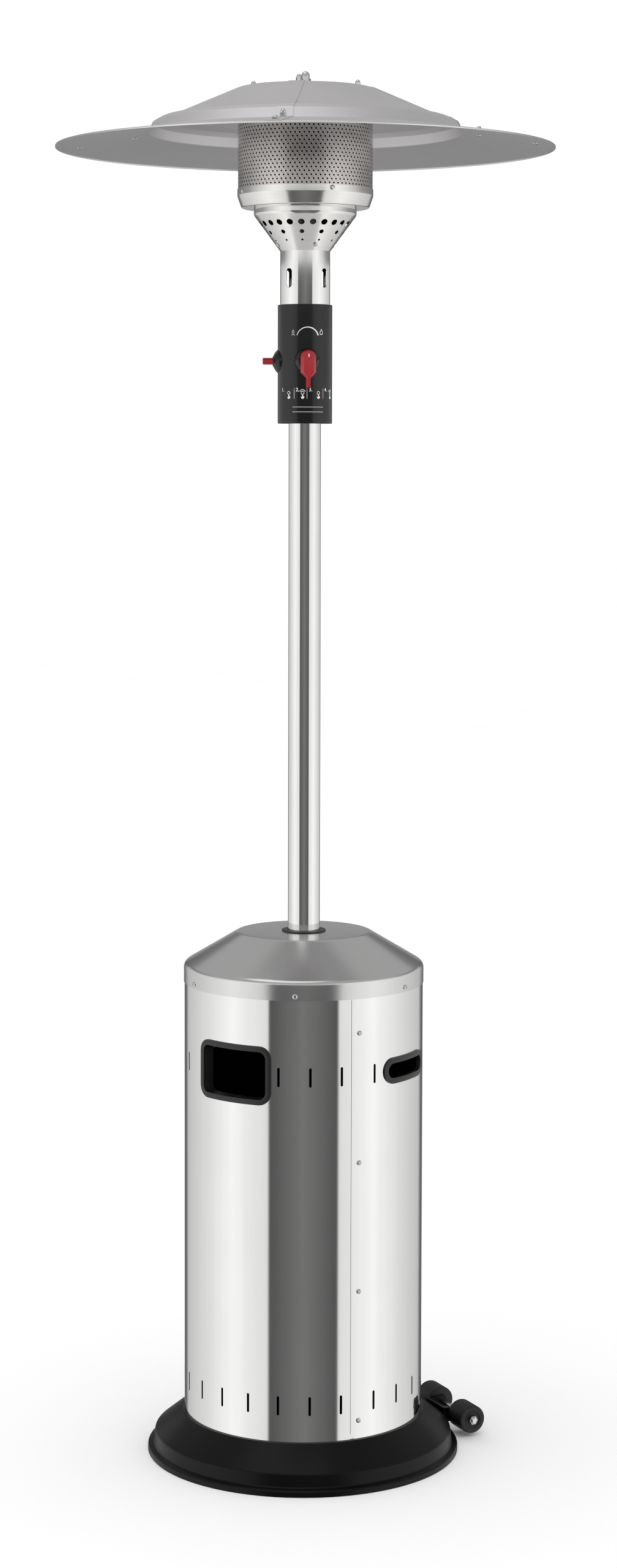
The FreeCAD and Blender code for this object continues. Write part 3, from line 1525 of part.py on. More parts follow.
def make_reflector_fasteners():
    """Posts on the burner's cap, bolts and closed nuts along the laps, and the stud in the middle."""
    none = as_size(0)
    shank = sizes.small_bolt_radius
    head = sizes.small_bolt_head
    tall = sizes.small_head_tall
    bolts = start_body("reflector_bolts", loose=True)
    nuts = start_body("reflector_nuts", loose=True)
    post_seat = (sizes.post_reach, reflector_top)
    joints = [(post_seat, UPWARD, cap_under - reflector_top, sizes.dome_nut_tall)]
    brim_under = -sizes.reflector_sheet * spread(brim_normal)
    brim_bolts = ((inner_bolt_reach, sizes.dome_nut_tall), (outer_bolt_reach, sizes.small_nut_tall))
    for reach, nut_tall in brim_bolts:
        joints.append((brim_seat(reach), brim_normal, brim_under, nut_tall))
    bolt_features = []
    nut_features = []
    for seat, normal, under, nut_tall in joints:
        nut_seat = lap_rise * spread(normal)
        end = nut_seat + nut_tall / 2
        foot = under - tall
        shape = [(foot, none), (foot, head), (under, head), (under, shank), (end, shank), (end, none)]
        bolt_features.append(turn_on_seat(bolts, seat, normal, shape))
        nut_features.append(turn_on_seat(nuts, seat, normal, nut_shape(nut_seat, nut_tall, end)))
    repeat(bolts, bolt_features, as_size(SEGMENTS))
    repeat(nuts, nut_features, as_size(SEGMENTS))
    posts = start_body("reflector_posts", loose=True)
    height = sizes.post_height
    outer = sizes.post_radius
    shape = [(-height, small_hole), (-height, outer), (none, outer), (none, small_hole)]
    post = turn_on_seat(posts, (sizes.post_reach, reflector_under), UPWARD, shape)
    repeat(posts, [post], as_size(SEGMENTS))
    for label, body in (("reflector_bolts", bolts), ("reflector_nuts", nuts), ("reflector_posts", posts)):
        face_azimuth(body, sizes.lap_azimuth)
        finish(label, body)
    washer_top = reflector_top + sizes.washer_sheet
    nut_top = washer_top + sizes.cap_nut_height
    stud_top = washer_top + sizes.cap_nut_height / 2
    stud_bore = sizes.stud_radius + sizes.hole_gap
    stud = start_body("reflector_stud")
    spin(stud, [
        (0, cap_top),
        (sizes.stud_foot, cap_top),
        (sizes.stud_foot, cap_top + sizes.stud_foot_tall),
        (sizes.stud_radius, cap_top + sizes.stud_foot_tall),
        (sizes.stud_radius, stud_top),
        (0, stud_top),
    ])
    finish("reflector_stud", stud)
    washer = tube("reflector_washer", stud_bore, sizes.washer_radius, reflector_top, washer_top)
    finish("reflector_washer", washer)
    nut = start_body("reflector_cap_nut")
    spin(nut, [
        (stud_bore, washer_top),
        (sizes.cap_nut_radius, washer_top),
        (sizes.cap_nut_radius, stud_top),
        (sizes.cap_nut_radius / 2, nut_top),
        (0, nut_top),
        (0, stud_top + sizes.hole_gap),
        (stud_bore, stud_top + sizes.hole_gap),
    ])
    finish("reflector_cap_nut", nut)


make_base_pan()
make_struts()
make_pole()
make_wheels()
make_housing_shell()
make_housing_dome()
make_bezels()
make_control_head()
make_gas_line()
make_controls()
make_burner()
make_emitter()
make_reflector()
make_reflector_fasteners()

for thing in doc.Objects:
    if "Invalid" in thing.State or "Error" in thing.State:
        raise RuntimeError(f"{thing.Label}: {thing.State}")
for thing in finished:
    if thing.Shape.isNull() or not thing.Shape.isValid():
        raise RuntimeError(f"{thing.Label}: no valid shape")
os.makedirs("parts", exist_ok=True)
for thing in finished:
    thing.Shape.exportStep(f"parts/{thing.Label}.step")
    print(thing.Label, len(thing.Shape.Solids), round(thing.Shape.Volume))
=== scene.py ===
import math

import bpy
from mathutils import Matrix, Vector


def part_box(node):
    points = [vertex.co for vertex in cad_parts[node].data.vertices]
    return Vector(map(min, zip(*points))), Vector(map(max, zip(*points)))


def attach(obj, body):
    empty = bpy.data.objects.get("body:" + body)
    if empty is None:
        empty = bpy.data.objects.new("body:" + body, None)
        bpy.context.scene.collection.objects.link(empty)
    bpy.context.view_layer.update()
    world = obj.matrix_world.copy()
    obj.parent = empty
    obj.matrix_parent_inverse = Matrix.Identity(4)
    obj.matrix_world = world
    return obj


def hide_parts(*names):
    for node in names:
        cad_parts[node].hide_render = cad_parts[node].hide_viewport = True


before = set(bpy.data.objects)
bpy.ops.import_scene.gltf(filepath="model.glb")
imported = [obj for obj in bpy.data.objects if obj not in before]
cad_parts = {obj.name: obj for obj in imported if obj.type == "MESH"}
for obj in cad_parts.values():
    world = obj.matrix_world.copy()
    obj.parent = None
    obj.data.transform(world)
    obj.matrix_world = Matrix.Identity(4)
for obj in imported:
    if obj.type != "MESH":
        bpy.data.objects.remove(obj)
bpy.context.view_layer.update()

MM = 0.001
TURN_STEPS = 192
CORNER_STEPS = 6
SMOOTH_ANGLE = math.radians(32)
TOUCH = 1e-6
ROUND_FACE = 0.999
INWARD = -0.5
UP = (0, 1)
OUT = (1, 0)


def top(node):
    """Height of a node's highest point."""
    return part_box(node)[1].z


def foot(node):
    """Height of a node's lowest point."""
    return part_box(node)[0].z


def reach(node):
    """Largest distance of a round node from the pole's axis."""
    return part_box(node)[1].x


# Sizes of the frame that the pieces are fitted to
base_top = foot("housing_shell")
lip_radius = reach("base_pan")
shell_radius = 189.2 * MM
shell_sheet = 0.8 * MM
shell_top = top("housing_shell")
dome_radius = reach("housing_dome")
dome_edge = foot("housing_dome")
dome_top = top("housing_dome")
ring_reach = reach("guide_ring")
pole_radius = reach("pole")
neck_radius = reach("neck_tube")
neck_top = top("neck_tube")
control_foot = foot("control_housing")
control_top = top("control_housing")
control_radius = 42.75 * MM
knob_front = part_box("control_knob")[0].y
knob_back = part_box("control_knob")[1].y
boss_level = (foot("valve_spindle") + top("valve_spindle")) / 2
boss_face = 50.75 * MM
button_face = -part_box("igniter_button")[0].x
cone_top = neck_top + 55.6 * MM
cone_radius = 80.3 * MM
cone_rim_top = top("burner_cone")
burner_radius = reach("burner_ring")
burner_top = top("burner_ring")
emitter_radius = reach("emitter_screen")
emitter_foot = foot("emitter_screen")
emitter_top = top("emitter_screen")
reflector_radius = 390 * MM
reflector_top = top("reflector_posts") + 0.8 * MM
rim_foot = foot("reflector_segment_1")
washer_top = top("reflector_washer")
wheel_azimuth = math.radians(110)
wheel_radius = 22.5 * MM
axle_spot = (Vector(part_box("wheel_front")[0]) + Vector(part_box("wheel_front")[1])) / 2
axle_spot += (Vector(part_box("wheel_rear")[0]) + Vector(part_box("wheel_rear")[1])) / 2
axle_spot /= 2
lap_azimuth = math.radians(-12)


def rounded(corners):
    """Points of an outline; a corner with a third number is rounded to that radius."""
    points = []
    count = len(corners)
    for index, corner in enumerate(corners):
        here = Vector(corner[:2])
        radius = corner[2] if len(corner) > 2 else 0
        if not radius:
            points.append(here)
            continue
        before = (Vector(corners[index - 1][:2]) - here).normalized()
        after = (Vector(corners[(index + 1) % count][:2]) - here).normalized()
        half = before.angle(after) / 2
        away = radius / math.tan(half)
        centre = here + (before + after).normalized() * radius / math.sin(half)
        start = here + before * away - centre
        sweep = math.pi - 2 * half
        if before.x * after.y - before.y * after.x > 0:
            sweep = -sweep
        for step in range(CORNER_STEPS + 1):
            turned = Matrix.Rotation(sweep * step / CORNER_STEPS, 2) @ start
            points.append(centre + turned)
    return points


def sheet(path, gauge):
    """Closed section of sheet metal that follows a path, thickened to the path's right."""
    inner = []
    last = len(path) - 1
    for index, spot in enumerate(path):
        normals = []
        for first, second in ((index - 1, index), (index, index + 1)):
            if first >= 0 and second <= last:
                along = (path[second] - path[first]).normalized()
                normals.append(Vector((along.y, -along.x)))
        middle = sum(normals, Vector((0, 0))).normalized()
        inner.append(spot + middle * gauge / middle.dot(normals[0]))
    return path + inner[::-1]


def deselect():
    """Leave nothing selected."""
    bpy.ops.object.select_all(action="DESELECT")


def pick(piece):
    """Select one piece alone and make it active."""
    deselect()
    piece.select_set(True)
    bpy.context.view_layer.objects.active = piece


def edit(piece):
    """Open a piece for editing with all of it selected."""
    pick(piece)
    bpy.ops.object.mode_set(mode="EDIT")
    bpy.ops.mesh.select_mode(type="VERT")
    bpy.ops.mesh.select_all(action="SELECT")


def leave():
    """Close the piece that is being edited."""
    bpy.ops.object.mode_set(mode="OBJECT")


def draw(name, spots, closed=True):
    """Draw a line from point to point and leave it open for editing."""
    spots = [Vector(spot) for spot in spots]
    spots = [spot for index, spot in enumerate(spots) if (spot - spots[index - 1]).length > TOUCH]
    deselect()
    bpy.ops.mesh.primitive_plane_add(size=MM, location=spots[0])
    piece = bpy.context.object
    piece.name = name
    bpy.ops.object.transform_apply(location=True)
    edit(piece)
    bpy.ops.mesh.merge(type="CENTER")
    for here, after in zip(spots, spots[1:]):
        move = {"value": after - here}
        bpy.ops.mesh.extrude_vertices_move(TRANSFORM_OT_translate=move)
    bpy.ops.mesh.select_all(action="SELECT")
    if closed:
        bpy.ops.mesh.edge_face_add()
        bpy.ops.mesh.delete(type="ONLY_FACE")
        bpy.ops.mesh.select_all(action="SELECT")
    return piece


def close_up():
    """Merge doubled points and turn all faces outwards."""
    bpy.ops.mesh.select_all(action="SELECT")
    bpy.ops.mesh.remove_doubles(threshold=TOUCH)
    bpy.ops.mesh.normals_make_consistent(inside=False)
    leave()


def smooth(piece, angle=SMOOTH_ANGLE):
    """Shade the round faces smooth and keep the sharp edges."""
    pick(piece)
    bpy.ops.object.shade_smooth_by_angle(angle=angle)
    return piece


def turn(name, section, steps=TURN_STEPS):
    """Spin a closed half section round the pole's axis."""
    piece = draw(name, [(spot[0], 0, spot[1]) for spot in section])
    bpy.ops.mesh.spin(steps=steps, angle=math.tau, center=(0, 0, 0), axis=(0, 0, 1))
    close_up()
    return smooth(piece)


def tube(name, inner, outer, low, high):
    """Plain upright tube round the pole's axis."""
    return turn(name, [(inner, low), (outer, low), (outer, high), (inner, high)])


def rod(name, radius, low, high, steps=TURN_STEPS):
    """Plain upright rod on the pole's axis."""
    return turn(name, [(0, low), (radius, low), (radius, high), (0, high)], steps)


def prism(name, outline, front, back):
    """Fill an outline seen from the front and give it depth."""
    piece = draw(name, [(spot[0], front, spot[1]) for spot in outline])
    bpy.ops.mesh.edge_face_add()
    bpy.ops.mesh.extrude_region_move(TRANSFORM_OT_translate={"value": (0, back - front, 0)})
    close_up()
    return piece


def apply(piece, modifier):
    """Apply a modifier."""
    pick(piece)
    bpy.ops.object.modifier_apply(modifier=modifier.name)


def cut(piece, tool, operation="DIFFERENCE"):
    """Cut a piece with a tool, or keep what both share, and drop the tool."""
    modifier = piece.modifiers.new("cut", "BOOLEAN")
    modifier.operation = operation
    modifier.object = tool
    apply(piece, modifier)
    bpy.data.objects.remove(tool)


def bevel(piece, width, segments=3):
    """Soften the edges of a piece."""
    modifier = piece.modifiers.new("soft", "BEVEL")
    modifier.width = width
    modifier.segments = segments
    modifier.limit_method = "ANGLE"
    modifier.angle_limit = SMOOTH_ANGLE
    apply(piece, modifier)
    return smooth(piece)


def round_shading(piece):
    """Shade the faces of a cut tube or cone as the round form that they belong to."""
    corners = [Vector()] * len(piece.data.loops)
    for face in piece.data.polygons:
        middle = Vector((face.center.x, face.center.y, 0)).normalized()
        outward = face.normal.dot(middle)
        is_round = outward ** 2 + face.normal.z ** 2 > ROUND_FACE
        for loop in face.loop_indices:
            spot = piece.data.vertices[piece.data.loops[loop].vertex_index].co
            around_axis = Vector((spot.x, spot.y, 0)).normalized() * outward
            around_axis.z = face.normal.z
            corners[loop] = around_axis.normalized() if is_round else face.normal.copy()
    piece.data.normals_split_custom_set(corners)


def twin(piece, place):
    """A copy of a piece with its own mesh, carried to a place."""
    copy = piece.copy()
    copy.data = piece.data.copy()
    copy.data.transform(place)
    bpy.context.collection.objects.link(copy)
    return copy


def around(angle):
    """A turn about the pole's axis, from -Y towards +X."""
    return Matrix.Rotation(angle, 4, "Z")


def seated(radius, height, azimuth, normal):
    """Place of a fastener drawn upright: its seat and the direction that it leaves it."""
    lean = Matrix.Rotation(math.atan2(normal[0], normal[1]), 4, "X")
    return around(azimuth) @ Matrix.Translation((0, -radius, height)) @ lean


def join(name, pieces):
    """Make several pieces one."""
    deselect()
    for piece in pieces:
        piece.select_set(True)
    bpy.context.view_layer.objects.active = pieces[0]
    bpy.ops.object.join()
    pieces[0].name = name
    return pieces[0]


def spread(name, piece, places):
    """Copies of a piece at all its places, as one piece."""
    copies = [twin(piece, place) for place in places]
    bpy.data.objects.remove(piece)
    return join(name, copies)


def wrap(piece, radius, azimuth=0):
    """Bend a flat piece, drawn in front of the pole, round it; its depth becomes distance from the pole."""
    for vertex in piece.data.vertices:
        angle = azimuth + vertex.co.x / radius
        away = radius - vertex.co.y
        vertex.co = (math.sin(angle) * away, -math.cos(angle) * away, vertex.co.z)
    piece.data.update()
    return piece


def dress(piece, material, body, slot, *nodes):
    """Give a piece its finish, the body that it rides on and the nodes that it stands for."""
    piece.data.materials.clear()
    piece.data.materials.append(material)
    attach(piece, body)
    if nodes:
        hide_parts(*nodes)
    return piece


def paint_inside_shade(piece):
    """Paint shade on the faces that look at the pole: they get the dark inside finish as painted shade."""
    piece.data.materials.append(finishes["inside"])
    for face in piece.data.polygons:
        outward = Vector((face.center.x, face.center.y, 0)).normalized()
        face.material_index = int(face.normal.dot(outward) < INWARD)


class Value:
    """A socket of a finish; arithmetic on it adds nodes."""

    def __init__(self, finish, socket):
        self.finish = finish
        self.socket = socket

    def maths(self, operation, first, second):
        return self.finish.node("ShaderNodeMath", {"operation": operation}, {0: first, 1: second})

    def __add__(self, other):
        return self.maths("ADD", self, other)

    def __radd__(self, other):
        return self.maths("ADD", other, self)

    def __sub__(self, other):
        return self.maths("SUBTRACT", self, other)

    def __rsub__(self, other):
        return self.maths("SUBTRACT", other, self)

    def __mul__(self, other):
        return self.maths("MULTIPLY", self, other)

    def __rmul__(self, other):
        return self.maths("MULTIPLY", other, self)


class Finish:
    """A material, with one way to add its nodes."""

    def __init__(self, name, constants):
        self.material = bpy.data.materials.new(name)
        self.material.use_nodes = True
        self.tree = self.material.node_tree
        self.shader = self.tree.nodes["Principled BSDF"]
        for socket, amount in constants.items():
            self.shader.inputs[socket].default_value = amount
        self.place = self.node("ShaderNodeTexCoord", {}, {}, "Object")

    def node(self, kind, settings, sockets, output=0):
        """Add a node, set it up and feed its sockets."""
        node = self.tree.nodes.new(kind)
        for setting, amount in settings.items():
            if setting == "stops":
                elements = node.color_ramp.elements
                while len(elements) < len(amount):
                    elements.new(1.0)
                for element, (position, colour) in zip(elements, amount):
                    element.position = position
                    element.color = colour
            else:
                setattr(node, setting, amount)
        for socket, amount in sockets.items():
            self.feed(node.inputs[socket], amount)
        return Value(self, node.outputs[output])

    def feed(self, socket, amount):
        """Link a value to a socket, or set a number on it."""
        if isinstance(amount, Value):
            self.tree.links.new(amount.socket, socket)
        else:
            socket.default_value = amount

    def grain(self, stretch, scale, detail=3.0):
        """Noise between 0 and 1, stretched along the axes."""
        stretched = self.node("ShaderNodeMapping", {}, {"Vector": self.place, "Scale": stretch}, "Vector")
        sockets = {"Vector": stretched, "Scale": scale, "Detail": detail}
        return self.node("ShaderNodeTexNoise", {}, sockets, "Fac")

    def tint(self, factor, dark, light):
        """Colour between two by a factor."""
        stops = [(0.3, (*dark, 1)), (0.7, (*light, 1))]
        return self.node("ShaderNodeValToRGB", {"stops": stops}, {"Fac": factor}, "Color")

    def finish(self, sockets):
        """Feed the shader and hand out the material."""
        for socket, amount in sockets.items():
            self.feed(self.shader.inputs[socket], amount)
        return self.material

    def bumps(self, height, strength, depth):
        """Normal of a fine relief."""
        sockets = {"Height": height, "Strength": strength, "Distance": depth}
        return self.node("ShaderNodeBump", {}, sockets, "Normal")


def metal(name, dark, light, rough, vary, stretch, scale):
    """Bare metal whose colour and gloss vary along its grain."""
    finish = Finish(name, {"Metallic": 1.0})
    grain = finish.grain(stretch, scale)
    cloud = finish.grain((1, 1, 1), 9.0)
    colour = finish.tint(grain * 0.6 + cloud * 0.4, dark, light)
    return finish.finish({"Base Color": colour, "Roughness": rough + (grain - 0.5) * vary})


def coat(name, dark, light, rough, vary, scale, relief, shine=0.5):
    """Paint, plastic or rubber with a fine skin."""
    finish = Finish(name, {"Specular IOR Level": shine})
    skin = finish.grain((1, 1, 1), scale)
    cloud = finish.grain((1, 1, 1), 14.0)
    sockets = {"Base Color": finish.tint(cloud, dark, light), "Roughness": rough + (skin - 0.5) * vary}
    if relief:
        sockets["Normal"] = finish.bumps(skin, 0.35, relief)
    return finish.finish(sockets)


def make_finishes():
    """All materials by the part of the heater that they are for."""
    return {
        "polished": metal(
            "polished_stainless", (0.80, 0.80, 0.79), (0.86, 0.86, 0.85),
            rough=0.055, vary=0.03, stretch=(1, 1, 0.02), scale=60.0),
        "satin": metal(
            "satin_stainless", (0.70, 0.70, 0.70), (0.74, 0.74, 0.73),
            rough=0.22, vary=0.03, stretch=(1, 1, 6), scale=200.0),
        "burner": metal(
            "brushed_stainless", (0.78, 0.77, 0.75), (0.84, 0.83, 0.81),
            rough=0.16, vary=0.06, stretch=(0.05, 0.05, 1), scale=260.0),
        "emitter": metal(
            "emitter_stainless", (0.60, 0.57, 0.55), (0.70, 0.67, 0.645),
            rough=0.24, vary=0.04, stretch=(1, 1, 1), scale=60.0),
        "aluminium": metal(
            "reflector_aluminium", (0.76, 0.745, 0.755), (0.80, 0.785, 0.795),
            rough=0.56, vary=0.06, stretch=(1, 1, 12), scale=60.0),
        # Rim hem: glossier than the brim, which is real, and lighter, which is a painted highlight along
        # the rim.
        "hem": metal(
            "hem_aluminium_with_painted_highlight", (0.84, 0.84, 0.84), (0.90, 0.90, 0.90),
            rough=0.28, vary=0.06, stretch=(1, 1, 1), scale=90.0),
        # Dark steel of the tilt switch and the piezo; the same finish is painted shade on the inner faces
        # of the shell and cone and on the dark sheet in the emitter.
        "inside": metal(
            "dark_steel_and_painted_shade", (0.015, 0.015, 0.016), (0.03, 0.03, 0.03),
            rough=0.7, vary=0.1, stretch=(1, 1, 1), scale=60.0),
        "steel": metal(
            "plain_steel", (0.32, 0.32, 0.33), (0.44, 0.44, 0.45),
            rough=0.42, vary=0.12, stretch=(1, 1, 1), scale=60.0),
        "bright": metal(
            "bright_zinc", (0.62, 0.62, 0.62), (0.78, 0.78, 0.77),
            rough=0.18, vary=0.10, stretch=(1, 1, 1), scale=300.0),
        "brass": metal(
            "machined_brass", (0.55, 0.38, 0.14), (0.68, 0.50, 0.22),
            rough=0.30, vary=0.10, stretch=(1, 1, 1), scale=120.0),
        "base": coat(
            "base_paint", (0.002, 0.002, 0.0021), (0.0032, 0.0031, 0.0031),
            rough=0.30, vary=0.05, scale=900.0, relief=0.01 * MM, shine=0.18),
        "control": coat(
            "control_paint", (0.003, 0.003, 0.003), (0.0045, 0.0045, 0.0045),
            rough=0.22, vary=0.03, scale=1200.0, relief=0.0),
        "plastic": coat(
            "black_plastic", (0.006, 0.006, 0.006), (0.010, 0.010, 0.010),
            rough=0.36, vary=0.08, scale=1500.0, relief=0.02 * MM),
        "rubber": coat(
            "roller_rubber", (0.006, 0.006, 0.006), (0.010, 0.010, 0.010),
            rough=0.55, vary=0.10, scale=700.0, relief=0.05 * MM),
        "red": coat(
            "red_plastic", (0.34, 0.006, 0.014), (0.38, 0.008, 0.017),
            rough=0.30, vary=0.05, scale=800.0, relief=0.0),
        "white": coat(
            "white_print", (0.78, 0.78, 0.78), (0.86, 0.86, 0.86),
            rough=0.55, vary=0.05, scale=800.0, relief=0.0),
        "ceramic": coat(
            "white_ceramic", (0.70, 0.68, 0.62), (0.80, 0.78, 0.73),
            rough=0.35, vary=0.08, scale=300.0, relief=0.0),
    }


finishes = make_finishes()

NODE_FINISHES = {
    "inside": ["tilt_switch", "piezo_igniter"],
    "steel": [
        "support_strut_1", "support_strut_2", "support_strut_3", "pole_socket", "pole_adapter",
        "mixing_tube", "burner_plate", "pilot_burner", "thermocouple", "reflector_posts",
        "reflector_stud", "burner_cap"],
    "bright": [
        "strut_bolts", "pole_screws", "bracket_bolts", "wheel_axle", "axle_nuts", "seam_screws",
        "dome_screws", "cone_screws", "ring_screws", "reflector_bolts", "reflector_nuts",
        "reflector_washer", "reflector_cap_nut"],
    "brass": [
        "gas_valve", "hose_nipple", "gas_inlet_pipe", "burner_feed_pipe", "gas_injector", "valve_spindle"],
    "base": ["base_pan", "wheel_bracket"],
    "polished": ["housing_shell", "pole", "neck_tube"],
    "satin": ["housing_dome"],
    "burner": ["burner_cone", "burner_ring"],
    "emitter": ["emitter_screen"],
    "aluminium": [
        "reflector_segment_1", "reflector_segment_2", "reflector_segment_3", "reflector_segment_4"],
    "control": ["control_housing"],
    "plastic": ["window_frame", "grip_frame_right", "grip_frame_left", "guide_ring"],
    "ceramic": ["spark_electrode"],
    "red": ["control_knob", "igniter_button"],
    "rubber": ["wheel_front", "wheel_rear"],
}


def finish_nodes():
    """Give every node of the frame its finish."""
    for finish, nodes in NODE_FINISHES.items():
        for node in nodes:
            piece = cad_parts[node]
            piece.data.materials.clear()
            piece.data.materials.append(finishes[finish])


LIP_TOP = 9 * MM
BAND_RADIUS = 238 * MM
BAND_FOOT = 12 * MM
SKIRT_RADIUS = 236 * MM
SKIRT_FOOT = 32 * MM
LEDGE_RADIUS = 193 * MM
BASE_SHEET = 1.5 * MM


def make_base():
    """Pressed pan with a rolled lip, an upright band and a sloping skirt."""
    soft = 3 * MM
    path = rounded([
        (lip_radius, 0),
        (lip_radius, LIP_TOP, soft),
        (BAND_RADIUS, BAND_FOOT, soft),
        (SKIRT_RADIUS, SKIRT_FOOT, 5 * MM),
        (LEDGE_RADIUS, base_top, soft),
        (0, base_top),
    ])
    base = turn("base", sheet(path[::-1], BASE_SHEET))
    dress(base, finishes["base"], "stand", "base_paint", "base_pan")


def window_outline(width, tall, corner, middle):
    """Rounded rectangle round a height."""
    across = width / 2
    up = tall / 2
    corners = [(-across, -up, corner), (across, -up, corner), (across, up, corner), (-across, up, corner)]
    return [(spot.x, spot.y + middle) for spot in rounded(corners)]


WINDOW = {"width": 120 * MM, "tall": 74 * MM, "corner": 11 * MM, "rise": 569 * MM, "depth": 16 * MM}
WINDOW_AZIMUTH = math.radians(-41)
GRIP = {"width": 99.5 * MM, "tall": 23.5 * MM, "corner": 11.74 * MM, "rise": 568 * MM, "depth": 3.8 * MM}
GRIP_AZIMUTH = math.radians(53.5)
OPENINGS = (
    ("window_bezel", WINDOW, WINDOW_AZIMUTH, "window_frame"),
    ("right_grip", GRIP, GRIP_AZIMUTH, "grip_frame_right"),
    ("left_grip", GRIP, GRIP_AZIMUTH + math.pi, "grip_frame_left"),
)
BEZEL_WALL = 2.5 * MM
BEZEL_LIP = 6 * MM
BEZEL_PROUD = 2.4 * MM
BEZEL_SEAT = 0.1 * MM
BEZEL_CUTS = 5
VENT_WIDTH = 4 * MM
VENT_TALL = 30 * MM
VENT_RISES = (57 * MM, 568.5 * MM)
VENT_FIRST = math.radians(30.4)
VENT_PITCH = math.radians(14.9)
VENT_COUNT = 24
SEAM = math.radians(17.7)
SEAM_GAP = 0.9 * MM
SEAM_CORNER = 9 * MM
SEAM_PAST = 2 * MM
LAP_SPREAD = math.radians(10)
LAP_MARGIN = math.radians(1.2)
LAP_GAP = 0.1 * MM
CUT_OUT = 5 * MM
CUT_IN = 8 * MM


def opening_outline(form, margin):
    """Outline of a window or grip, widened all round."""
    wide = form["width"] + margin * 2
    tall = form["tall"] + margin * 2
    return window_outline(wide, tall, form["corner"] + margin, base_top + form["rise"])


def opening_tool(form, azimuth):
    """Block that cuts a window or grip out of the shell."""
    outline = opening_outline(form, BEZEL_WALL / 2)
    tool = prism("tool", outline, -shell_radius - 20 * MM, -shell_radius + 60 * MM)
    tool.data.transform(around(azimuth))
    return tool


def make_shell():
    """Rolled shell with a lapped seam, vents, a window and two hand grips."""
    inner = shell_radius - shell_sheet
    shell = tube("shell", inner, shell_radius, base_top, shell_top)
    slots = []
    for rise in VENT_RISES:
        outline = window_outline(VENT_WIDTH, VENT_TALL, VENT_WIDTH / 2, base_top + rise)
        vent = prism("vent", outline, -shell_radius - CUT_OUT, -shell_radius + CUT_IN)
        places = [around(VENT_FIRST + VENT_PITCH * number) for number in range(VENT_COUNT)]
        slots.append(spread("vents", vent, places))
    cut(shell, join("vents", slots))
    for _, form, azimuth, _ in OPENINGS:
        cut(shell, opening_tool(form, azimuth))
    low = base_top - SEAM_PAST
    high = shell_top + SEAM_PAST
    corner = base_top + SEAM_CORNER
    gap = [(0, low), (SEAM_CORNER, low), (SEAM_GAP, corner), (SEAM_GAP, high), (0, high)]
    seam = prism("seam", gap, -shell_radius - CUT_OUT, -shell_radius + CUT_IN)
    seam.data.transform(around(SEAM))
    cut(shell, seam)
    round_shading(shell)
    dress(shell, finishes["polished"], "housing", "shell_stainless", "housing_shell")
    # Painted shade: the shell's inner faces are darkened so that the window and vents look dark inside.
    paint_inside_shade(shell)


def make_lap():
    """Strip behind the shell's seam, drawn at +X and spun back from there."""
    outer = shell_radius - shell_sheet - LAP_GAP
    inner = outer - shell_sheet
    section = [(inner, base_top), (outer, base_top), (outer, shell_top), (inner, shell_top)]
    lap = draw("shell_lap", [(spot[0], 0, spot[1]) for spot in section])
    bpy.ops.mesh.edge_face_add()
    bpy.ops.mesh.spin(steps=6, angle=LAP_SPREAD, center=(0, 0, 0), axis=(0, 0, 1))
    close_up()
    smooth(lap)
    lap.data.transform(around(SEAM - LAP_MARGIN + LAP_SPREAD - math.pi / 2))
    dress(lap, finishes["polished"], "housing", "shell_stainless")


def hoop(name, outline, width, front, back):
    """Frame that runs along an outline, with a width and a depth."""
    piece = draw(name, [(spot[0], front, spot[1]) for spot in outline])
    bpy.ops.mesh.subdivide(number_cuts=BEZEL_CUTS)
    bpy.ops.mesh.edge_face_add()
    bpy.ops.mesh.inset(thickness=width)
    bpy.ops.mesh.delete(type="FACE")
    bpy.ops.mesh.select_all(action="SELECT")
    bpy.ops.mesh.extrude_region_move(TRANSFORM_OT_translate={"value": (0, back - front, 0)})
    close_up()
    return piece


def make_bezels():
    """Moulded frames of the window and of the two hand grips, which follow the shell."""
    lip = BEZEL_WALL + BEZEL_LIP
    rim = BEZEL_WALL / 2
    for name, form, azimuth, node in OPENINGS:
        piece = hoop(name, opening_outline(form, lip), lip, -BEZEL_PROUD, -BEZEL_SEAT)
        wall = hoop(f"{name}_wall", opening_outline(form, rim), rim, -BEZEL_PROUD / 2, form["depth"])
        bevel(piece, 0.9 * MM)
        piece = join(name, [piece, wall])
        wrap(piece, shell_radius, azimuth)
        smooth(piece)
        dress(piece, finishes["plastic"], "housing", "trim_plastic", node)


DOME_FLAT = 105 * MM
DOME_SKIRT = 28.6 * MM
DOME_SHEET = 0.8 * MM
POLE_GAP = 0.3 * MM
BUSH_WALL = 2.2 * MM
BUSH_TALL = 9 * MM


def make_dome():
    """Pressed dome with a soft shoulder, and the bush round the pole."""
    path = rounded([
        (ring_reach - 6 * MM, dome_top),
        (DOME_FLAT, dome_top, 14 * MM),
        (dome_radius, dome_edge + DOME_SKIRT, 11 * MM),
        (dome_radius, dome_edge),
    ])
    dome = turn("dome", sheet(path, DOME_SHEET))
    dress(dome, finishes["satin"], "housing", "dome_stainless", "housing_dome")
    bore = pole_radius + POLE_GAP
    rim = top("guide_ring")
    foot_level = rim - BUSH_TALL
    collar = bore + BUSH_WALL
    soft = 0.9 * MM
    ring = turn("bush", rounded([
        (bore, foot_level),
        (collar, foot_level),
        (collar, dome_top),
        (ring_reach, dome_top),
        (ring_reach, rim, soft),
        (bore, rim, soft),
    ]))
    dress(ring, finishes["plastic"], "housing", "trim_plastic", "guide_ring")


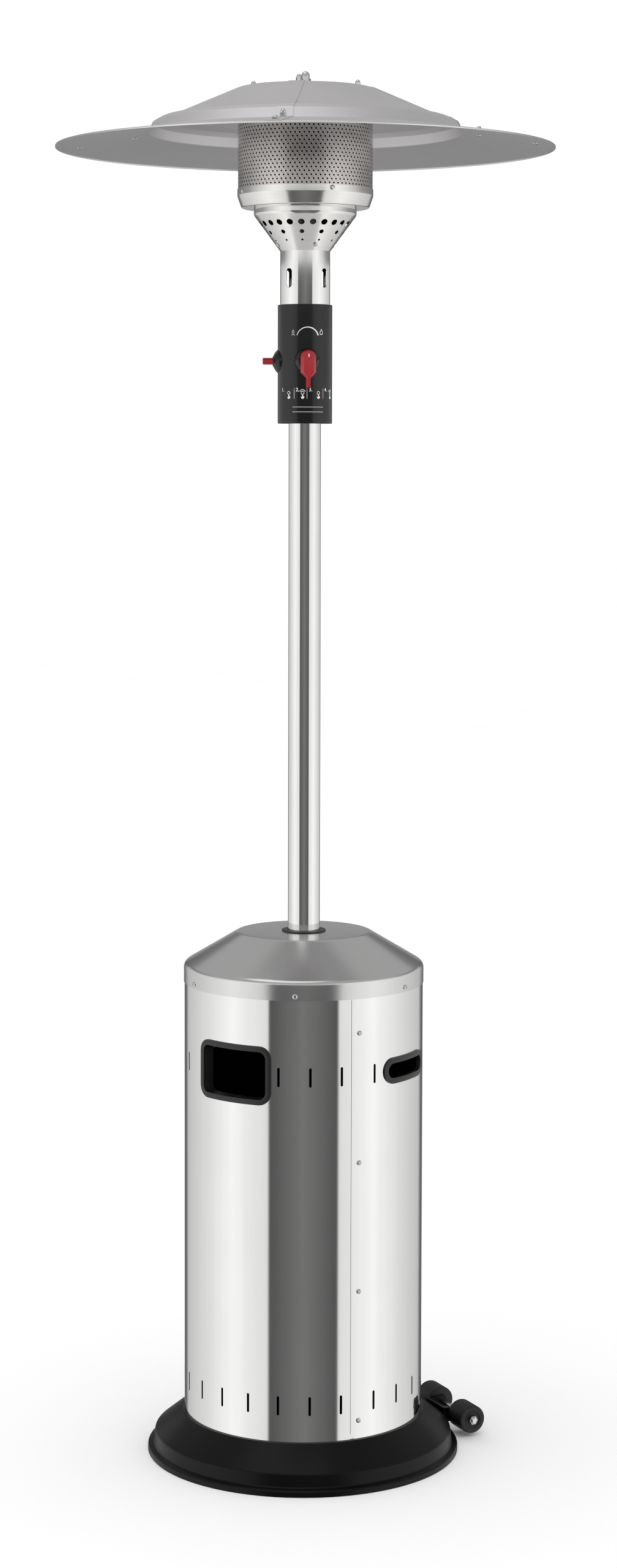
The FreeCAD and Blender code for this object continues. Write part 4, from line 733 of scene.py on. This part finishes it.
POLE_WALL = 1.5 * MM
NECK_WALL = 1 * MM
NECK_SLOT_RISE = 40.8 * MM
KNOB_SIDE = 0
BUTTON_SIDE = math.radians(-90)
SPINDLE_BORE = 4.4 * MM
STEM_RADIUS = 3 * MM
BUTTON_RADIUS = 5.3 * MM
BUTTON_GAP = 0.3 * MM


def bore_tool(azimuth, radius):
    """Round bar that cuts the way of a spindle or stem through one side of the control head."""
    bar = rod("bar", radius, 0, neck_radius, 48)
    bar.data.transform(seated(neck_radius / 2, boss_level, azimuth, OUT))
    return bar


def make_tubes():
    """Pole and slotted neck."""
    pole = tube("mast", pole_radius - POLE_WALL, pole_radius, foot("pole"), top("pole"))
    dress(pole, finishes["polished"], "stand", "shell_stainless", "pole")
    neck = tube("neck", neck_radius - NECK_WALL, neck_radius, foot("neck_tube"), neck_top)
    outline = window_outline(11 * MM, 30 * MM, 5 * MM, control_top + NECK_SLOT_RISE)
    slot = prism("slot", outline, -neck_radius - CUT_OUT, -10 * MM)
    places = [around(math.radians(45 + 90 * number)) for number in range(4)]
    slots = spread("slots", slot, places)
    spindle_way = bore_tool(KNOB_SIDE, SPINDLE_BORE)
    stem_way = bore_tool(BUTTON_SIDE, STEM_RADIUS + BUTTON_GAP)
    cut(neck, join("slots", [slots, spindle_way, stem_way]))
    round_shading(neck)
    dress(neck, finishes["polished"], "stand", "shell_stainless", "neck_tube")


SLEEVE_GAP = 0.3 * MM
BOSS_SEAT = 36 * MM
BOSS_FOOT = 18.25 * MM


def make_boss(bore, head, azimuth):
    """Bored boss that spreads out to the sleeve and is hollowed to its bore; the head is its outer part."""
    skin = control_radius - BOSS_SEAT
    face = boss_face - BOSS_SEAT
    boss = turn("boss", rounded([
        (bore, 0),
        (BOSS_FOOT + 3 * MM, 0),
        (BOSS_FOOT + 2 * MM, skin - 6 * MM),
        (BOSS_FOOT + 0.5 * MM, skin, 6 * MM),
        *head,
        (bore, face),
    ]), 64)
    boss.data.transform(seated(BOSS_SEAT, boss_level, azimuth, OUT))
    cut(boss, rod("core", neck_radius + SLEEVE_GAP, control_foot, control_top))
    return smooth(boss)


def make_sleeve():
    """Black sleeve with a boss in front for the knob and one at its side for the button."""
    bore = neck_radius + SLEEVE_GAP
    soft = 1.2 * MM
    sleeve = turn("sleeve", rounded([
        (bore, control_foot),
        (control_radius, control_foot, soft),
        (control_radius, control_top, soft),
        (bore, control_top),
    ]))
    button_bore = BUTTON_RADIUS + BUTTON_GAP
    ways = [bore_tool(KNOB_SIDE, SPINDLE_BORE), bore_tool(BUTTON_SIDE, button_bore)]
    cut(sleeve, join("bores", ways))
    round_shading(sleeve)
    skin = control_radius - BOSS_SEAT
    face = boss_face - BOSS_SEAT
    bell = [
        (14 * MM, skin + 4.2 * MM, 8 * MM), (8.6 * MM, face - 0.9 * MM, 3 * MM), (7.4 * MM, face, 0.6 * MM)]
    drum = [(15.4 * MM, skin + 4.6 * MM, 5 * MM), (14.4 * MM, face, 0.5 * MM)]
    side = make_boss(button_bore, bell, BUTTON_SIDE)
    front = make_boss(SPINDLE_BORE, drum, KNOB_SIDE)
    sleeve = join("sleeve", [sleeve, front, side])
    dress(sleeve, finishes["control"], "stand", "control_paint", "control_housing")


KNOB_HALF = 12 * MM
KNOB_CROWN = 4.8 * MM
KNOB_SHOULDER = -19 * MM
TONGUE_HALF = 3.65 * MM
TONGUE_TOP = -28 * MM
TONGUE_END = -43 * MM
KNOB_WAIST = 0.45
KNOB_TAPER = (0.62, 1, 0.93)
NEARLY = 0.999


def make_knob():
    """Red knob with a tongue, tapered to its front, and its white mark."""
    head = KNOB_CROWN + KNOB_HALF
    bulge = KNOB_HALF * NEARLY
    soft = 2 * MM
    outline = rounded([
        (-KNOB_HALF, head, bulge),
        (-KNOB_HALF, KNOB_SHOULDER, soft),
        (-TONGUE_HALF, TONGUE_TOP, soft),
        (-TONGUE_HALF, TONGUE_END, 1 * MM),
        (TONGUE_HALF, TONGUE_END, 1 * MM),
        (TONGUE_HALF, TONGUE_TOP, soft),
        (KNOB_HALF, KNOB_SHOULDER, soft),
        (KNOB_HALF, head, bulge),
    ])
    waist = knob_back + (knob_front - knob_back) * KNOB_WAIST
    knob = draw("knob", [(spot.x, knob_back, spot.y + boss_level) for spot in outline])
    bpy.ops.mesh.edge_face_add()
    bpy.ops.mesh.extrude_region_move(TRANSFORM_OT_translate={"value": (0, waist - knob_back, 0)})
    bpy.ops.mesh.extrude_region_move(TRANSFORM_OT_translate={"value": (0, knob_front - waist, 0)})
    bpy.ops.transform.resize(value=KNOB_TAPER, center_override=(0, 0, boss_level - 12 * MM))
    close_up()
    bevel(knob, 0.9 * MM, 3)
    dress(knob, finishes["red"], "knob", "control_red", "control_knob")
    outline = window_outline(1.4 * MM, 5 * MM, 0.5 * MM, boss_level + 7.5 * MM)
    mark = prism("knob_mark", outline, knob_front, knob_front + 0.4 * MM)
    mark.data.transform(Matrix.Translation((0, -0.05 * MM, 0)))
    dress(mark, finishes["white"], "knob", "control_red")


def make_button():
    """Red igniter button on its stem."""
    stem_end = -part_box("igniter_button")[1].x
    skirt = boss_face - 4.2 * MM
    button = turn("button", rounded([
        (0, stem_end),
        (STEM_RADIUS, stem_end),
        (STEM_RADIUS, skirt),
        (BUTTON_RADIUS, skirt),
        (BUTTON_RADIUS, button_face, 1.4 * MM),
        (0, button_face),
    ]), 48)
    button.data.transform(seated(0, boss_level, BUTTON_SIDE, OUT))
    dress(button, finishes["red"], "button", "control_red", "igniter_button")


CONE_SHEET = 0.9 * MM
# Rows of holes in the cone: height above the neck, radius and count
CONE_HOLES = ((41.6 * MM, 5.15 * MM, 24), (27.6 * MM, 3.65 * MM, 12), (15.3 * MM, 1.8 * MM, 12))
CONE_HOLE_AZIMUTH = math.radians(-10)
DRILL_REACH = 6 * MM


def make_burner():
    """Pierced cone and pressed ring."""
    spigot = neck_radius - 1.1 * MM
    path = rounded([
        (spigot, neck_top - 13 * MM),
        (spigot, neck_top - 0.5 * MM),
        (neck_radius, neck_top),
        (cone_radius, cone_top, 8 * MM),
        (cone_radius, cone_rim_top),
    ])
    cone = turn("cone", sheet(path[::-1], CONE_SHEET))
    run = cone_radius - neck_radius
    rise = cone_top - neck_top
    lean = (rise, -run)
    tools = []
    for height, radius, count in CONE_HOLES:
        drill = rod("drill", radius, -DRILL_REACH, DRILL_REACH, 20)
        away = neck_radius + run * height / rise
        places = []
        for number in range(count):
            azimuth = CONE_HOLE_AZIMUTH + math.tau * number / count
            places.append(seated(away, neck_top + height, azimuth, lean))
        tools.append(spread("drills", drill, places))
    cut(cone, join("drills", tools))
    round_shading(cone)
    dress(cone, finishes["burner"], "stand", "dome_stainless", "burner_cone")
    # Painted shade: the cone's inner faces are darkened so that its holes look dark.
    paint_inside_shade(cone)
    path = rounded([
        (60 * MM, cone_rim_top),
        (100 * MM, cone_rim_top, 3 * MM),
        (burner_radius, cone_rim_top + 18.6 * MM, 6 * MM),
        (burner_radius, burner_top),
    ])
    ring = turn("burner_band", sheet(path[::-1], CONE_SHEET))
    dress(ring, finishes["burner"], "stand", "dome_stainless", "burner_ring")


HOLE_RADIUS = 1.5 * MM
HOLE_COLUMNS = 92
HOLE_ROWS = 23
HOLE_SIDES = 8
EMITTER_SHEET = 1 * MM
EMITTER_RIM = 4 * MM
SHADE_SHEET_GAP = 6 * MM
SHADE_SHEET_TOP_GAP = 2 * MM


def make_emitter():
    """Fine staggered perforation: one holed tile, repeated in rows and bent round the burner, with a dark
    sheet behind it as painted shade inside.
    """
    pitch = math.tau * emitter_radius / HOLE_COLUMNS
    plain = burner_top - emitter_foot
    row = (emitter_top - emitter_foot - plain - EMITTER_RIM) / HOLE_ROWS
    deselect()
    bpy.ops.mesh.primitive_circle_add(vertices=HOLE_SIDES, radius=HOLE_RADIUS, rotation=(math.pi / 2, 0, 0))
    tile = bpy.context.object
    bpy.ops.object.transform_apply(rotation=True)
    edit(tile)
    bpy.ops.mesh.extrude_edges_move()
    scale = (pitch / 2 / HOLE_RADIUS, 1, row / 2 / HOLE_RADIUS)
    bpy.ops.transform.resize(value=scale, center_override=(0, 0, 0))
    leave()
    corner = (pitch / 2 * math.sqrt(0.5), row / 2 * math.sqrt(0.5))
    for vertex in tile.data.vertices:
        near = abs(abs(vertex.co.x) - corner[0]) + abs(abs(vertex.co.z) - corner[1])
        vertex.select = near < 10 * TOUCH
    bpy.ops.object.mode_set(mode="EDIT")
    grow = math.sqrt(2)
    bpy.ops.transform.resize(value=(grow, 1, grow), center_override=(0, 0, 0))
    leave()
    steps = ((HOLE_COLUMNS, (pitch, 0, 0)), (HOLE_ROWS, (pitch / 2, 0, row)))
    for count, offset in steps:
        modifier = tile.modifiers.new("rows", "ARRAY")
        modifier.count = count
        modifier.use_relative_offset = False
        modifier.use_constant_offset = True
        modifier.constant_offset_displace = offset
        apply(tile, modifier)
    tile.data.transform(Matrix.Translation((0, 0, burner_top + row / 2)))
    wrap(tile, emitter_radius)
    edit(tile)
    close_up()
    smooth(tile, math.pi)
    inner = emitter_radius - EMITTER_SHEET
    low = tube("emitter_hem", inner, emitter_radius, emitter_foot, burner_top)
    high = tube("emitter_rim", inner, emitter_radius, emitter_top - EMITTER_RIM, emitter_top)
    screen = join("perforated_screen", [tile, low, high])
    dress(screen, finishes["emitter"], "stand", "emitter_stainless", "emitter_screen")
    # Painted shade: a dark sheet inside the screen, which stands for no part, so that the holes look dark.
    outer = emitter_radius - SHADE_SHEET_GAP
    core = tube(
        "emitter_shade_sheet", outer - EMITTER_SHEET, outer, burner_top - SHADE_SHEET_GAP, emitter_top - SHADE_SHEET_TOP_GAP)
    dress(core, finishes["inside"], "stand", "emitter_stainless")


REFLECTOR_SHEET = 0.8 * MM
LAP_RISE = 0.9 * MM
LAP_HALF = 11.5 * MM
LAP_JOGGLE = 1.6 * MM
LAP_START = 32 * MM
LAP_END = reflector_radius - 3 * MM
HEM_WIDTH = 1.2 * MM


def reflector_path(grow):
    """Half outline of the reflector from the crown to the rim, raised by an amount."""
    edge = reflector_radius + grow
    crown = reflector_top + grow
    return rounded([
        (6 * MM, crown),
        (edge - 285 * MM, crown, 30 * MM),
        (edge - 183 * MM, crown - 44 * MM, 12 * MM),
        (edge - 163 * MM, crown - 48 * MM, 8 * MM),
        (edge - 151 * MM, crown - 55 * MM, 5 * MM),
        (edge - 144 * MM, crown - 70 * MM, 4 * MM),
        (edge, crown - 91.5 * MM, 1 * MM),
        (edge, rim_foot),
    ])


def slice_off(piece, spot, away):
    """Cut a piece along an upright plane, drop the side that the direction points to and close the cut."""
    edit(piece)
    bpy.ops.mesh.bisect(plane_co=spot, plane_no=away, use_fill=True, clear_outer=True)
    leave()


def lap_part(form, azimuth, near, far, left, right):
    """Part of a turned sheet between two distances along a lap and two distances to its sides."""
    piece = twin(form, Matrix.Identity(4))
    along = around(azimuth).to_3x3() @ Vector((0, -1, 0))
    aside = around(azimuth).to_3x3() @ Vector((1, 0, 0))
    for direction, distance in ((along, far), (-along, -near), (aside, right), (-aside, -left)):
        slice_off(piece, direction * distance, direction)
    return smooth(piece)


def make_reflector():
    """Four quarters; each laps over the next along a straight strip."""
    past = 2 * reflector_radius
    flat = turn("sheet", sheet(reflector_path(0), REFLECTOR_SHEET))
    raised = turn("strip", sheet(reflector_path(LAP_RISE), REFLECTOR_SHEET))
    for number in range(4):
        azimuth = lap_azimuth + math.pi / 2 * number
        quarter = lap_part(flat, azimuth, -LAP_HALF, past, -past, -LAP_HALF)
        strip = lap_part(raised, azimuth, LAP_START, LAP_END, -LAP_HALF - LAP_JOGGLE, LAP_HALF)
        segment = join(f"quarter_{number + 1}", [quarter, strip])
        node = f"reflector_segment_{number + 1}"
        dress(segment, finishes["aluminium"], "stand", "reflector_aluminium", node)
        # Faces at the rim get the hem finish, whose lighter colour is a painted highlight.
        segment.data.materials.append(finishes["hem"])
        for face in segment.data.polygons:
            face.material_index = int(face.center.xy.length > reflector_radius - HEM_WIDTH)
    bpy.data.objects.remove(flat)
    bpy.data.objects.remove(raised)


def pan_screw(radius, tall):
    """Pan head with a cross recess, seated on the ground."""
    head = turn("screw", rounded([
        (0, 0),
        (radius, 0),
        (radius, tall * 0.5, tall * 0.3),
        (radius * 0.55, tall, tall * 0.7),
        (0, tall),
    ]), 32)
    arm = radius * 0.6
    edge = radius * 0.13
    floor = tall * 0.45
    above = tall * 2
    blade = prism("blade", [(-arm, floor), (arm, floor), (arm, above), (-arm, above)], -edge, edge)
    other = twin(blade, around(math.pi / 2))
    cut(head, blade)
    cut(head, other)
    return smooth(head)


def dome_nut(radius, tall):
    """Closed nut: a chamfered hexagon with a dome on it."""
    flat = tall * 0.52
    chamfer = flat + radius * 0.09
    hexagon = turn("nut", [(0, 0), (radius, 0), (radius, flat), (radius * 0.86, chamfer), (0, chamfer)], 6)
    bulge = radius * 0.76
    soft = min(bulge, tall - flat) * 0.95
    dome = turn("dome", rounded([(0, flat), (bulge, flat), (bulge, tall, soft), (0, tall)]), 40)
    return join("nut", [hexagon, dome])


SEAM_SCREW_AZIMUTH = math.radians(22)
SEAM_SCREW_RISES = (634 * MM, 432.5 * MM, 231.5 * MM, 29.4 * MM)
DOME_SCREW_RISE = 7 * MM
CONE_SCREW_RISE = 8.6 * MM
RING_SCREW_DROP = 4.6 * MM
QUARTERS = [math.pi / 2 * number for number in range(4)]


def make_screws():
    """Pan head screws of the seam, the dome, the cone and the burner's ring."""
    run = cone_radius - neck_radius
    rise = cone_top - neck_top
    cone_seat = neck_radius + run * CONE_SCREW_RISE / rise
    dome_azimuths = [math.radians(-9 + 60 * number) for number in range(6)]
    cone_azimuths = [math.radians(15) + turned for turned in QUARTERS]
    ring_azimuths = [math.radians(18) + turned for turned in QUARTERS]
    cone_level = neck_top + CONE_SCREW_RISE
    dome_level = dome_edge + DOME_SCREW_RISE
    ring_level = burner_top - RING_SCREW_DROP
    seam = [seated(shell_radius, base_top + up, SEAM_SCREW_AZIMUTH, OUT) for up in SEAM_SCREW_RISES]
    dome = [seated(dome_radius, dome_level, turned, OUT) for turned in dome_azimuths]
    cone = [seated(cone_seat, cone_level, turned, (rise, -run)) for turned in cone_azimuths]
    ring = [seated(burner_radius, ring_level, turned, OUT) for turned in ring_azimuths]
    sites = {
        "seam_screws": ("housing", seam),
        "dome_screws": ("housing", dome),
        "cone_screws": ("stand", cone),
        "ring_screws": ("stand", ring),
    }
    screw = pan_screw(4 * MM, 2 * MM)
    for node, (body, places) in sites.items():
        heads = spread(f"{node}_heads", twin(screw, Matrix.Identity(4)), places)
        dress(heads, finishes["bright"], body, "fastener_steel", node)
    bpy.data.objects.remove(screw)


BRIM_SLOPE = 21.5 / 144
BRIM_NORMAL = (BRIM_SLOPE, 1)
BRIM_EDGE = 2.5 * MM
POST_REACH = 82 * MM
INNER_BOLT = reflector_radius - 120 * MM
OUTER_BOLT = reflector_radius - 32 * MM
STUD_BORE = 5.2 * MM


def brim_top(radius):
    """Height of the brim's upper face at a distance from the pole."""
    return rim_foot + BRIM_EDGE + (reflector_radius - radius) * BRIM_SLOPE


def make_lap_fasteners():
    """Closed nuts on the laps and bolt heads below them."""
    groups = []
    for tall, away, height, normal in (
            (12 * MM, POST_REACH, reflector_top, UP),
            (12 * MM, INNER_BOLT, brim_top(INNER_BOLT), BRIM_NORMAL),
            (6 * MM, OUTER_BOLT, brim_top(OUTER_BOLT), BRIM_NORMAL)):
        places = [seated(away, height + LAP_RISE, lap_azimuth + turned, normal) for turned in QUARTERS]
        groups.append(spread("nuts", dome_nut(5 * MM, tall), places))
    dress(join("lap_nuts", groups), finishes["bright"], "stand", "fastener_steel", "reflector_nuts")
    under = (-BRIM_NORMAL[0], -BRIM_NORMAL[1])
    places = []
    for away in (INNER_BOLT, OUTER_BOLT):
        for turned in QUARTERS:
            places.append(seated(away, brim_top(away) - REFLECTOR_SHEET, lap_azimuth + turned, under))
    heads = spread("lap_bolts", pan_screw(5 * MM, 2.6 * MM), places)
    dress(heads, finishes["bright"], "stand", "fastener_steel", "reflector_bolts")


def make_posts():
    """Four posts that carry the reflector."""
    low = foot("reflector_posts")
    high = top("reflector_posts")
    bore = 2.5 * MM
    radius = 6 * MM
    soft = 0.5 * MM
    post = turn("post", rounded([(bore, low), (radius, low, soft), (radius, high, soft), (bore, high)]), 48)
    places = [around(lap_azimuth + turned) @ Matrix.Translation((0, -POST_REACH, 0)) for turned in QUARTERS]
    dress(spread("posts", post, places), finishes["steel"], "stand", "inner_steel", "reflector_posts")


def make_crown():
    """Washer and closed nut in the middle of the reflector."""
    low = washer_top - 2 * MM
    radius = 18 * MM
    disc = turn("disc", rounded([
        (STUD_BORE, low),
        (radius, low, 0.4 * MM),
        (radius, washer_top, 0.8 * MM),
        (STUD_BORE, washer_top),
    ]), 64)
    dress(disc, finishes["bright"], "stand", "fastener_steel", "reflector_washer")
    nut = dome_nut(8.5 * MM, top("reflector_cap_nut") - washer_top)
    nut.data.transform(Matrix.Translation((0, 0, washer_top)))
    dress(nut, finishes["bright"], "stand", "fastener_steel", "reflector_cap_nut")


def make_cap():
    """Cap on the emitter."""
    rim = reach("burner_cap")
    high = top("burner_cap")
    path = rounded([(STUD_BORE, high), (rim, high, 3 * MM), (rim, foot("burner_cap"))])
    cap = turn("cap", sheet(path, CONE_SHEET))
    dress(cap, finishes["emitter"], "stand", "emitter_stainless", "burner_cap")


INK = 0.08 * MM
STROKE = 0.12 * MM
PRINT_STEP = 1.5 * MM


def ribbon(start, end, height, width):
    """Straight printed line along the sleeve."""
    count = max(1, round((end - start) / PRINT_STEP))
    spots = [(start + (end - start) * step / count, -INK, height) for step in range(count + 1)]
    line = draw("print", spots, closed=False)
    bpy.ops.mesh.extrude_edges_move(TRANSFORM_OT_translate={"value": (0, 0, width)})
    leave()
    return line


def arc(across, height, radius, first, last, thin, thick):
    """Printed arc that grows from thin to thick."""
    steps = 24
    angles = [math.radians(first + (last - first) * step / steps) for step in range(steps + 1)]
    spots = []
    for angle in angles:
        spots.append((across - math.cos(angle) * radius, -INK, height + math.sin(angle) * radius))
    line = draw("print", spots, closed=False)
    bpy.ops.mesh.extrude_edges_move()
    middle = (across - radius * (thick - thin) / (thick + thin), 0, height)
    grow = 1 + (thick + thin) / 2 / radius
    bpy.ops.transform.resize(value=(grow, 1, grow), center_override=middle)
    leave()
    return line


def blot(outline, across, height, hollow=0):
    """Printed spot, filled or drawn as a line."""
    spot = draw("print", [(across + point[0] * MM, -INK, height + point[1] * MM) for point in outline])
    bpy.ops.mesh.edge_face_add()
    if hollow:
        bpy.ops.mesh.inset(thickness=hollow)
        bpy.ops.mesh.delete(type="FACE")
    leave()
    return spot


def numeral(body, across, height, tall):
    """Printed numeral."""
    deselect()
    bpy.ops.object.text_add(rotation=(math.pi / 2, 0, 0))
    piece = bpy.context.object
    piece.data.body = body
    piece.data.size = tall / 0.7
    piece.data.offset = STROKE
    piece.data.align_x = "CENTER"
    bpy.ops.object.convert(target="MESH")
    bpy.ops.object.transform_apply(rotation=True)
    piece = bpy.context.object
    piece.data.transform(Matrix.Translation((across, -INK, height)))
    return piece


# Outlines of the pictograms in millimetres
FLAME = [
    (0, 5), (-1.2, 3), (-2.6, 0.8), (-3, -1.4), (-2.3, -3.6),
    (0, -4.6), (2.3, -3.6), (3, -1.4), (2.6, 0.8), (1.2, 3)]
SMALL_FLAME = [(x * 0.62, z * 0.62) for x, z in FLAME]
HAND = [
    (-0.7, 3.4), (0.7, 3.4), (0.8, 0.6), (2.5, 0.2), (2.6, -2),
    (1.8, -3.4), (-1.6, -3.4), (-2.5, -1), (-2.1, -0.4), (-0.8, -1)]
DIVIDER = [(-0.25, 0), (0.25, 0), (0.25, 16), (-0.25, 16)]
# Places of the print round the sleeve in degrees
NUMERALS = (("1.", -58), ("2.", -20.7), ("3.", 6.9), ("4.", 44))
DIVIDERS = (-28, -0.7, 36)
HANDS = (-41, -10, 24.3, 60)
TURNING_HANDS = (-10, 60)


def make_print():
    """White scale, numerals and plain pictograms on the sleeve."""
    along = control_radius * math.pi / 180
    prints = [arc(0.2 * MM, boss_level + 34.3 * MM, 17.0 * MM, 16, 164, 0.9 * MM, 2.1 * MM)]
    prints.append(blot(SMALL_FLAME, -22.8 * MM, boss_level + 45 * MM, 0.55 * MM))
    prints.append(arc(-22.8 * MM, boss_level + 38 * MM, 2.4 * MM, 20, 160, 0.6 * MM, 0.6 * MM))
    prints.append(blot(FLAME, 23.2 * MM, boss_level + 44.5 * MM, 0.9 * MM))
    for body, azimuth in NUMERALS:
        prints.append(numeral(body, azimuth * along, control_foot + 50 * MM, 5.4 * MM))
    for azimuth in DIVIDERS:
        prints.append(blot(DIVIDER, azimuth * along, control_foot + 38.5 * MM))
    for azimuth in HANDS:
        prints.append(arc(azimuth * along, control_foot + 47.5 * MM, 1.9 * MM, 0, 360, 0.8 * MM, 0.8 * MM))
        prints.append(blot(HAND, azimuth * along, control_foot + 42 * MM))
    for azimuth in TURNING_HANDS:
        prints.append(arc(azimuth * along, control_foot + 48.5 * MM, 3.6 * MM, 10, 170, 0.9 * MM, 0.9 * MM))
    for height in (17.7 * MM, 25.3 * MM):
        prints.append(ribbon(-32 * along, 36 * along, control_foot + height, 0.55 * MM))
    for piece in prints:
        wrap(piece, control_radius)
    dress(join("sleeve_print", prints), finishes["white"], "stand", "control_paint")


AXLE_BORE = 4.1 * MM
ROLLER_NEAR = 33 * MM
ROLLER_FAR = 77 * MM
ROLLER_DISH = 1.5 * MM
NUT_SEAT = 77.5 * MM


def make_wheels():
    """Two hard rollers beside the bracket."""
    along = Vector((math.cos(wheel_azimuth), math.sin(wheel_azimuth), 0))
    nuts = []
    soft = 1 * MM
    section = rounded([
        (AXLE_BORE, ROLLER_NEAR),
        (wheel_radius, ROLLER_NEAR, 3 * MM),
        (wheel_radius, ROLLER_FAR, 3 * MM),
        (14 * MM, ROLLER_FAR, soft),
        (12 * MM, ROLLER_FAR - ROLLER_DISH, soft),
        (AXLE_BORE, ROLLER_FAR - ROLLER_DISH),
    ])
    for body, node, side in (("front_roller", "wheel_front", -1), ("rear_roller", "wheel_rear", 1)):
        roller = turn(body, section, 64)
        turned = (along * side).to_track_quat("Z", "Y").to_matrix().to_4x4()
        roller.data.transform(Matrix.Translation(axle_spot) @ turned)
        dress(roller, finishes["rubber"], body, "roller_rubber", node)
        nut = dome_nut(7.5 * MM, 6.5 * MM)
        nut.data.transform(Matrix.Translation(axle_spot + along * side * NUT_SEAT) @ turned)
        nuts.append(nut)
    dress(join("end_nuts", nuts), finishes["bright"], "stand", "fastener_steel", "axle_nuts")


CAMERA_SPOT = (-0.418, -4.774, 1.589)
CAMERA_TILT = 86.5
CAMERA_SIDE = -5
CAMERA_ROLL = -0.12
LENS = 69.85
SENSOR = 36
SHIFT = (0.0025, -0.0926)
LAMP_SPOT = (-1.0, -1.0, 5.0)
LAMP_POWER = 30
WORLD_LIGHT = 1.06
FLOOR_DARK = (0.935, 0.935, 0.935)
FLOOR_LIGHT = (0.945, 0.945, 0.945)
WALL_RADIUS = 6
GROUND = -9
CARD_TOP = 2.25
CLOTH_TOP = 3.4
CEILING = 12
# Brightness of the studio's cloths by the angle from the camera, the same on both sides
DARK_CARD = [(0, 0.2), (32, 0.1)]
SIDE_CLOTHS = [
    (34, 0.85), (70, 1.1), (110, 0.8), (145, 0.6), (155, 0.15), (165, 0.12), (169, 0.4), (179, 0.4)]
HEAD_CLOTH = [(0, 0.7), (55, 1.1), (110, 0.3), (179, 0.15)]
GROUND_LIGHT = 0.6
UPPER_LIGHT = 0.45
CEILING_LIGHT = 0.3
CLOTH = {"Base Color": (0, 0, 0, 1), "Roughness": 1.0, "Specular IOR Level": 0.0, "Emission Strength": 1.0}


def plain_cloth(name, light):
    """Cloth of one brightness."""
    return Finish(name, {**CLOTH, "Emission Color": (light, light, light, 1)}).material


def hung_cloth(name, half):
    """Cloth whose brightness changes round the heater, the same on both sides of the camera."""
    mirrored = [(-angle, light) for angle, light in half[:0:-1]] + half
    stops = [(0.5 + angle / 360, (light, light, light, 1)) for angle, light in mirrored]
    cloth = Finish(name, CLOTH)
    turned = cloth.node("ShaderNodeMapping", {}, {
        "Vector": cloth.place, "Rotation": (0, 0, math.radians(90 - CAMERA_SIDE))}, "Vector")
    angle = cloth.node("ShaderNodeTexGradient", {"gradient_type": "RADIAL"}, {"Vector": turned}, "Fac")
    light = cloth.node("ShaderNodeValToRGB", {"stops": stops}, {"Fac": angle}, "Color")
    return cloth.finish({"Emission Color": light})


def make_wall(name, inner, low, high, cloth):
    """Ring of cloth round the heater, seen by gloss alone."""
    wall = draw(name, [(0, -inner, low), (0, -WALL_RADIUS, high)], closed=False)
    bpy.ops.mesh.spin(steps=96, angle=math.tau, center=(0, 0, 0), axis=(0, 0, 1))
    close_up()
    wall.data.materials.append(cloth)
    wall.visible_camera = False
    wall.visible_diffuse = False
    wall.visible_transmission = False
    wall.visible_shadow = False


def make_floor():
    """Plain pale floor, left out of reflections."""
    deselect()
    bpy.ops.mesh.primitive_plane_add(size=80)
    floor = bpy.context.object
    floor.name = "floor"
    cloth = Finish("pale_floor", {"Roughness": 1.0, "Specular IOR Level": 0.0})
    paper = cloth.tint(cloth.grain((1, 1, 1), 2.0), FLOOR_DARK, FLOOR_LIGHT)
    floor.data.materials.append(cloth.finish({"Base Color": paper}))
    floor.visible_glossy = False


def make_studio():
    """White surroundings, cloths for the gloss and a lamp overhead."""
    world = bpy.data.worlds.new("studio")
    bpy.context.scene.world = world
    world.use_nodes = True
    background = world.node_tree.nodes["Background"]
    background.inputs["Color"].default_value = (1, 1, 1, 1)
    background.inputs["Strength"].default_value = WORLD_LIGHT
    ground = plain_cloth("ground_cloth", GROUND_LIGHT)
    side = hung_cloth("side_cloth", DARK_CARD + SIDE_CLOTHS)
    head = hung_cloth("head_cloth", HEAD_CLOTH)
    upper = plain_cloth("upper_cloth", UPPER_LIGHT)
    ceiling = plain_cloth("ceiling_cloth", CEILING_LIGHT)
    make_wall("ground_cloth", 0, GROUND, GROUND, ground)
    make_wall("side_cloth", WALL_RADIUS, GROUND, CARD_TOP, side)
    make_wall("head_cloth", WALL_RADIUS, CARD_TOP, CLOTH_TOP, head)
    make_wall("upper_cloth", WALL_RADIUS, CLOTH_TOP, CEILING, upper)
    make_wall("ceiling_cloth", 0, CEILING, CEILING, ceiling)
    lamp = bpy.data.lights.new("overhead", "AREA")
    lamp.shape = "DISK"
    lamp.size = 4
    lamp.energy = LAMP_POWER
    holder = bpy.data.objects.new("overhead", lamp)
    holder.location = LAMP_SPOT
    bpy.context.collection.objects.link(holder)


def make_camera():
    """Camera at the photograph's viewing angle."""
    camera = bpy.data.cameras.new("camera")
    camera.lens = LENS
    camera.sensor_width = SENSOR
    camera.shift_x, camera.shift_y = SHIFT
    viewer = bpy.data.objects.new("camera", camera)
    viewer.location = CAMERA_SPOT
    viewer.rotation_euler = [math.radians(angle) for angle in (CAMERA_TILT, CAMERA_ROLL, CAMERA_SIDE)]
    bpy.context.collection.objects.link(viewer)
    bpy.context.scene.camera = viewer
    bpy.context.scene.view_settings.view_transform = "Standard"


finish_nodes()
make_base()
make_shell()
make_lap()
make_bezels()
make_dome()
make_tubes()
make_sleeve()
make_knob()
make_button()
make_burner()
make_emitter()
make_reflector()
make_lap_fasteners()
make_posts()
make_crown()
make_cap()
make_screws()
make_print()
make_wheels()
make_floor()
make_studio()
make_camera()
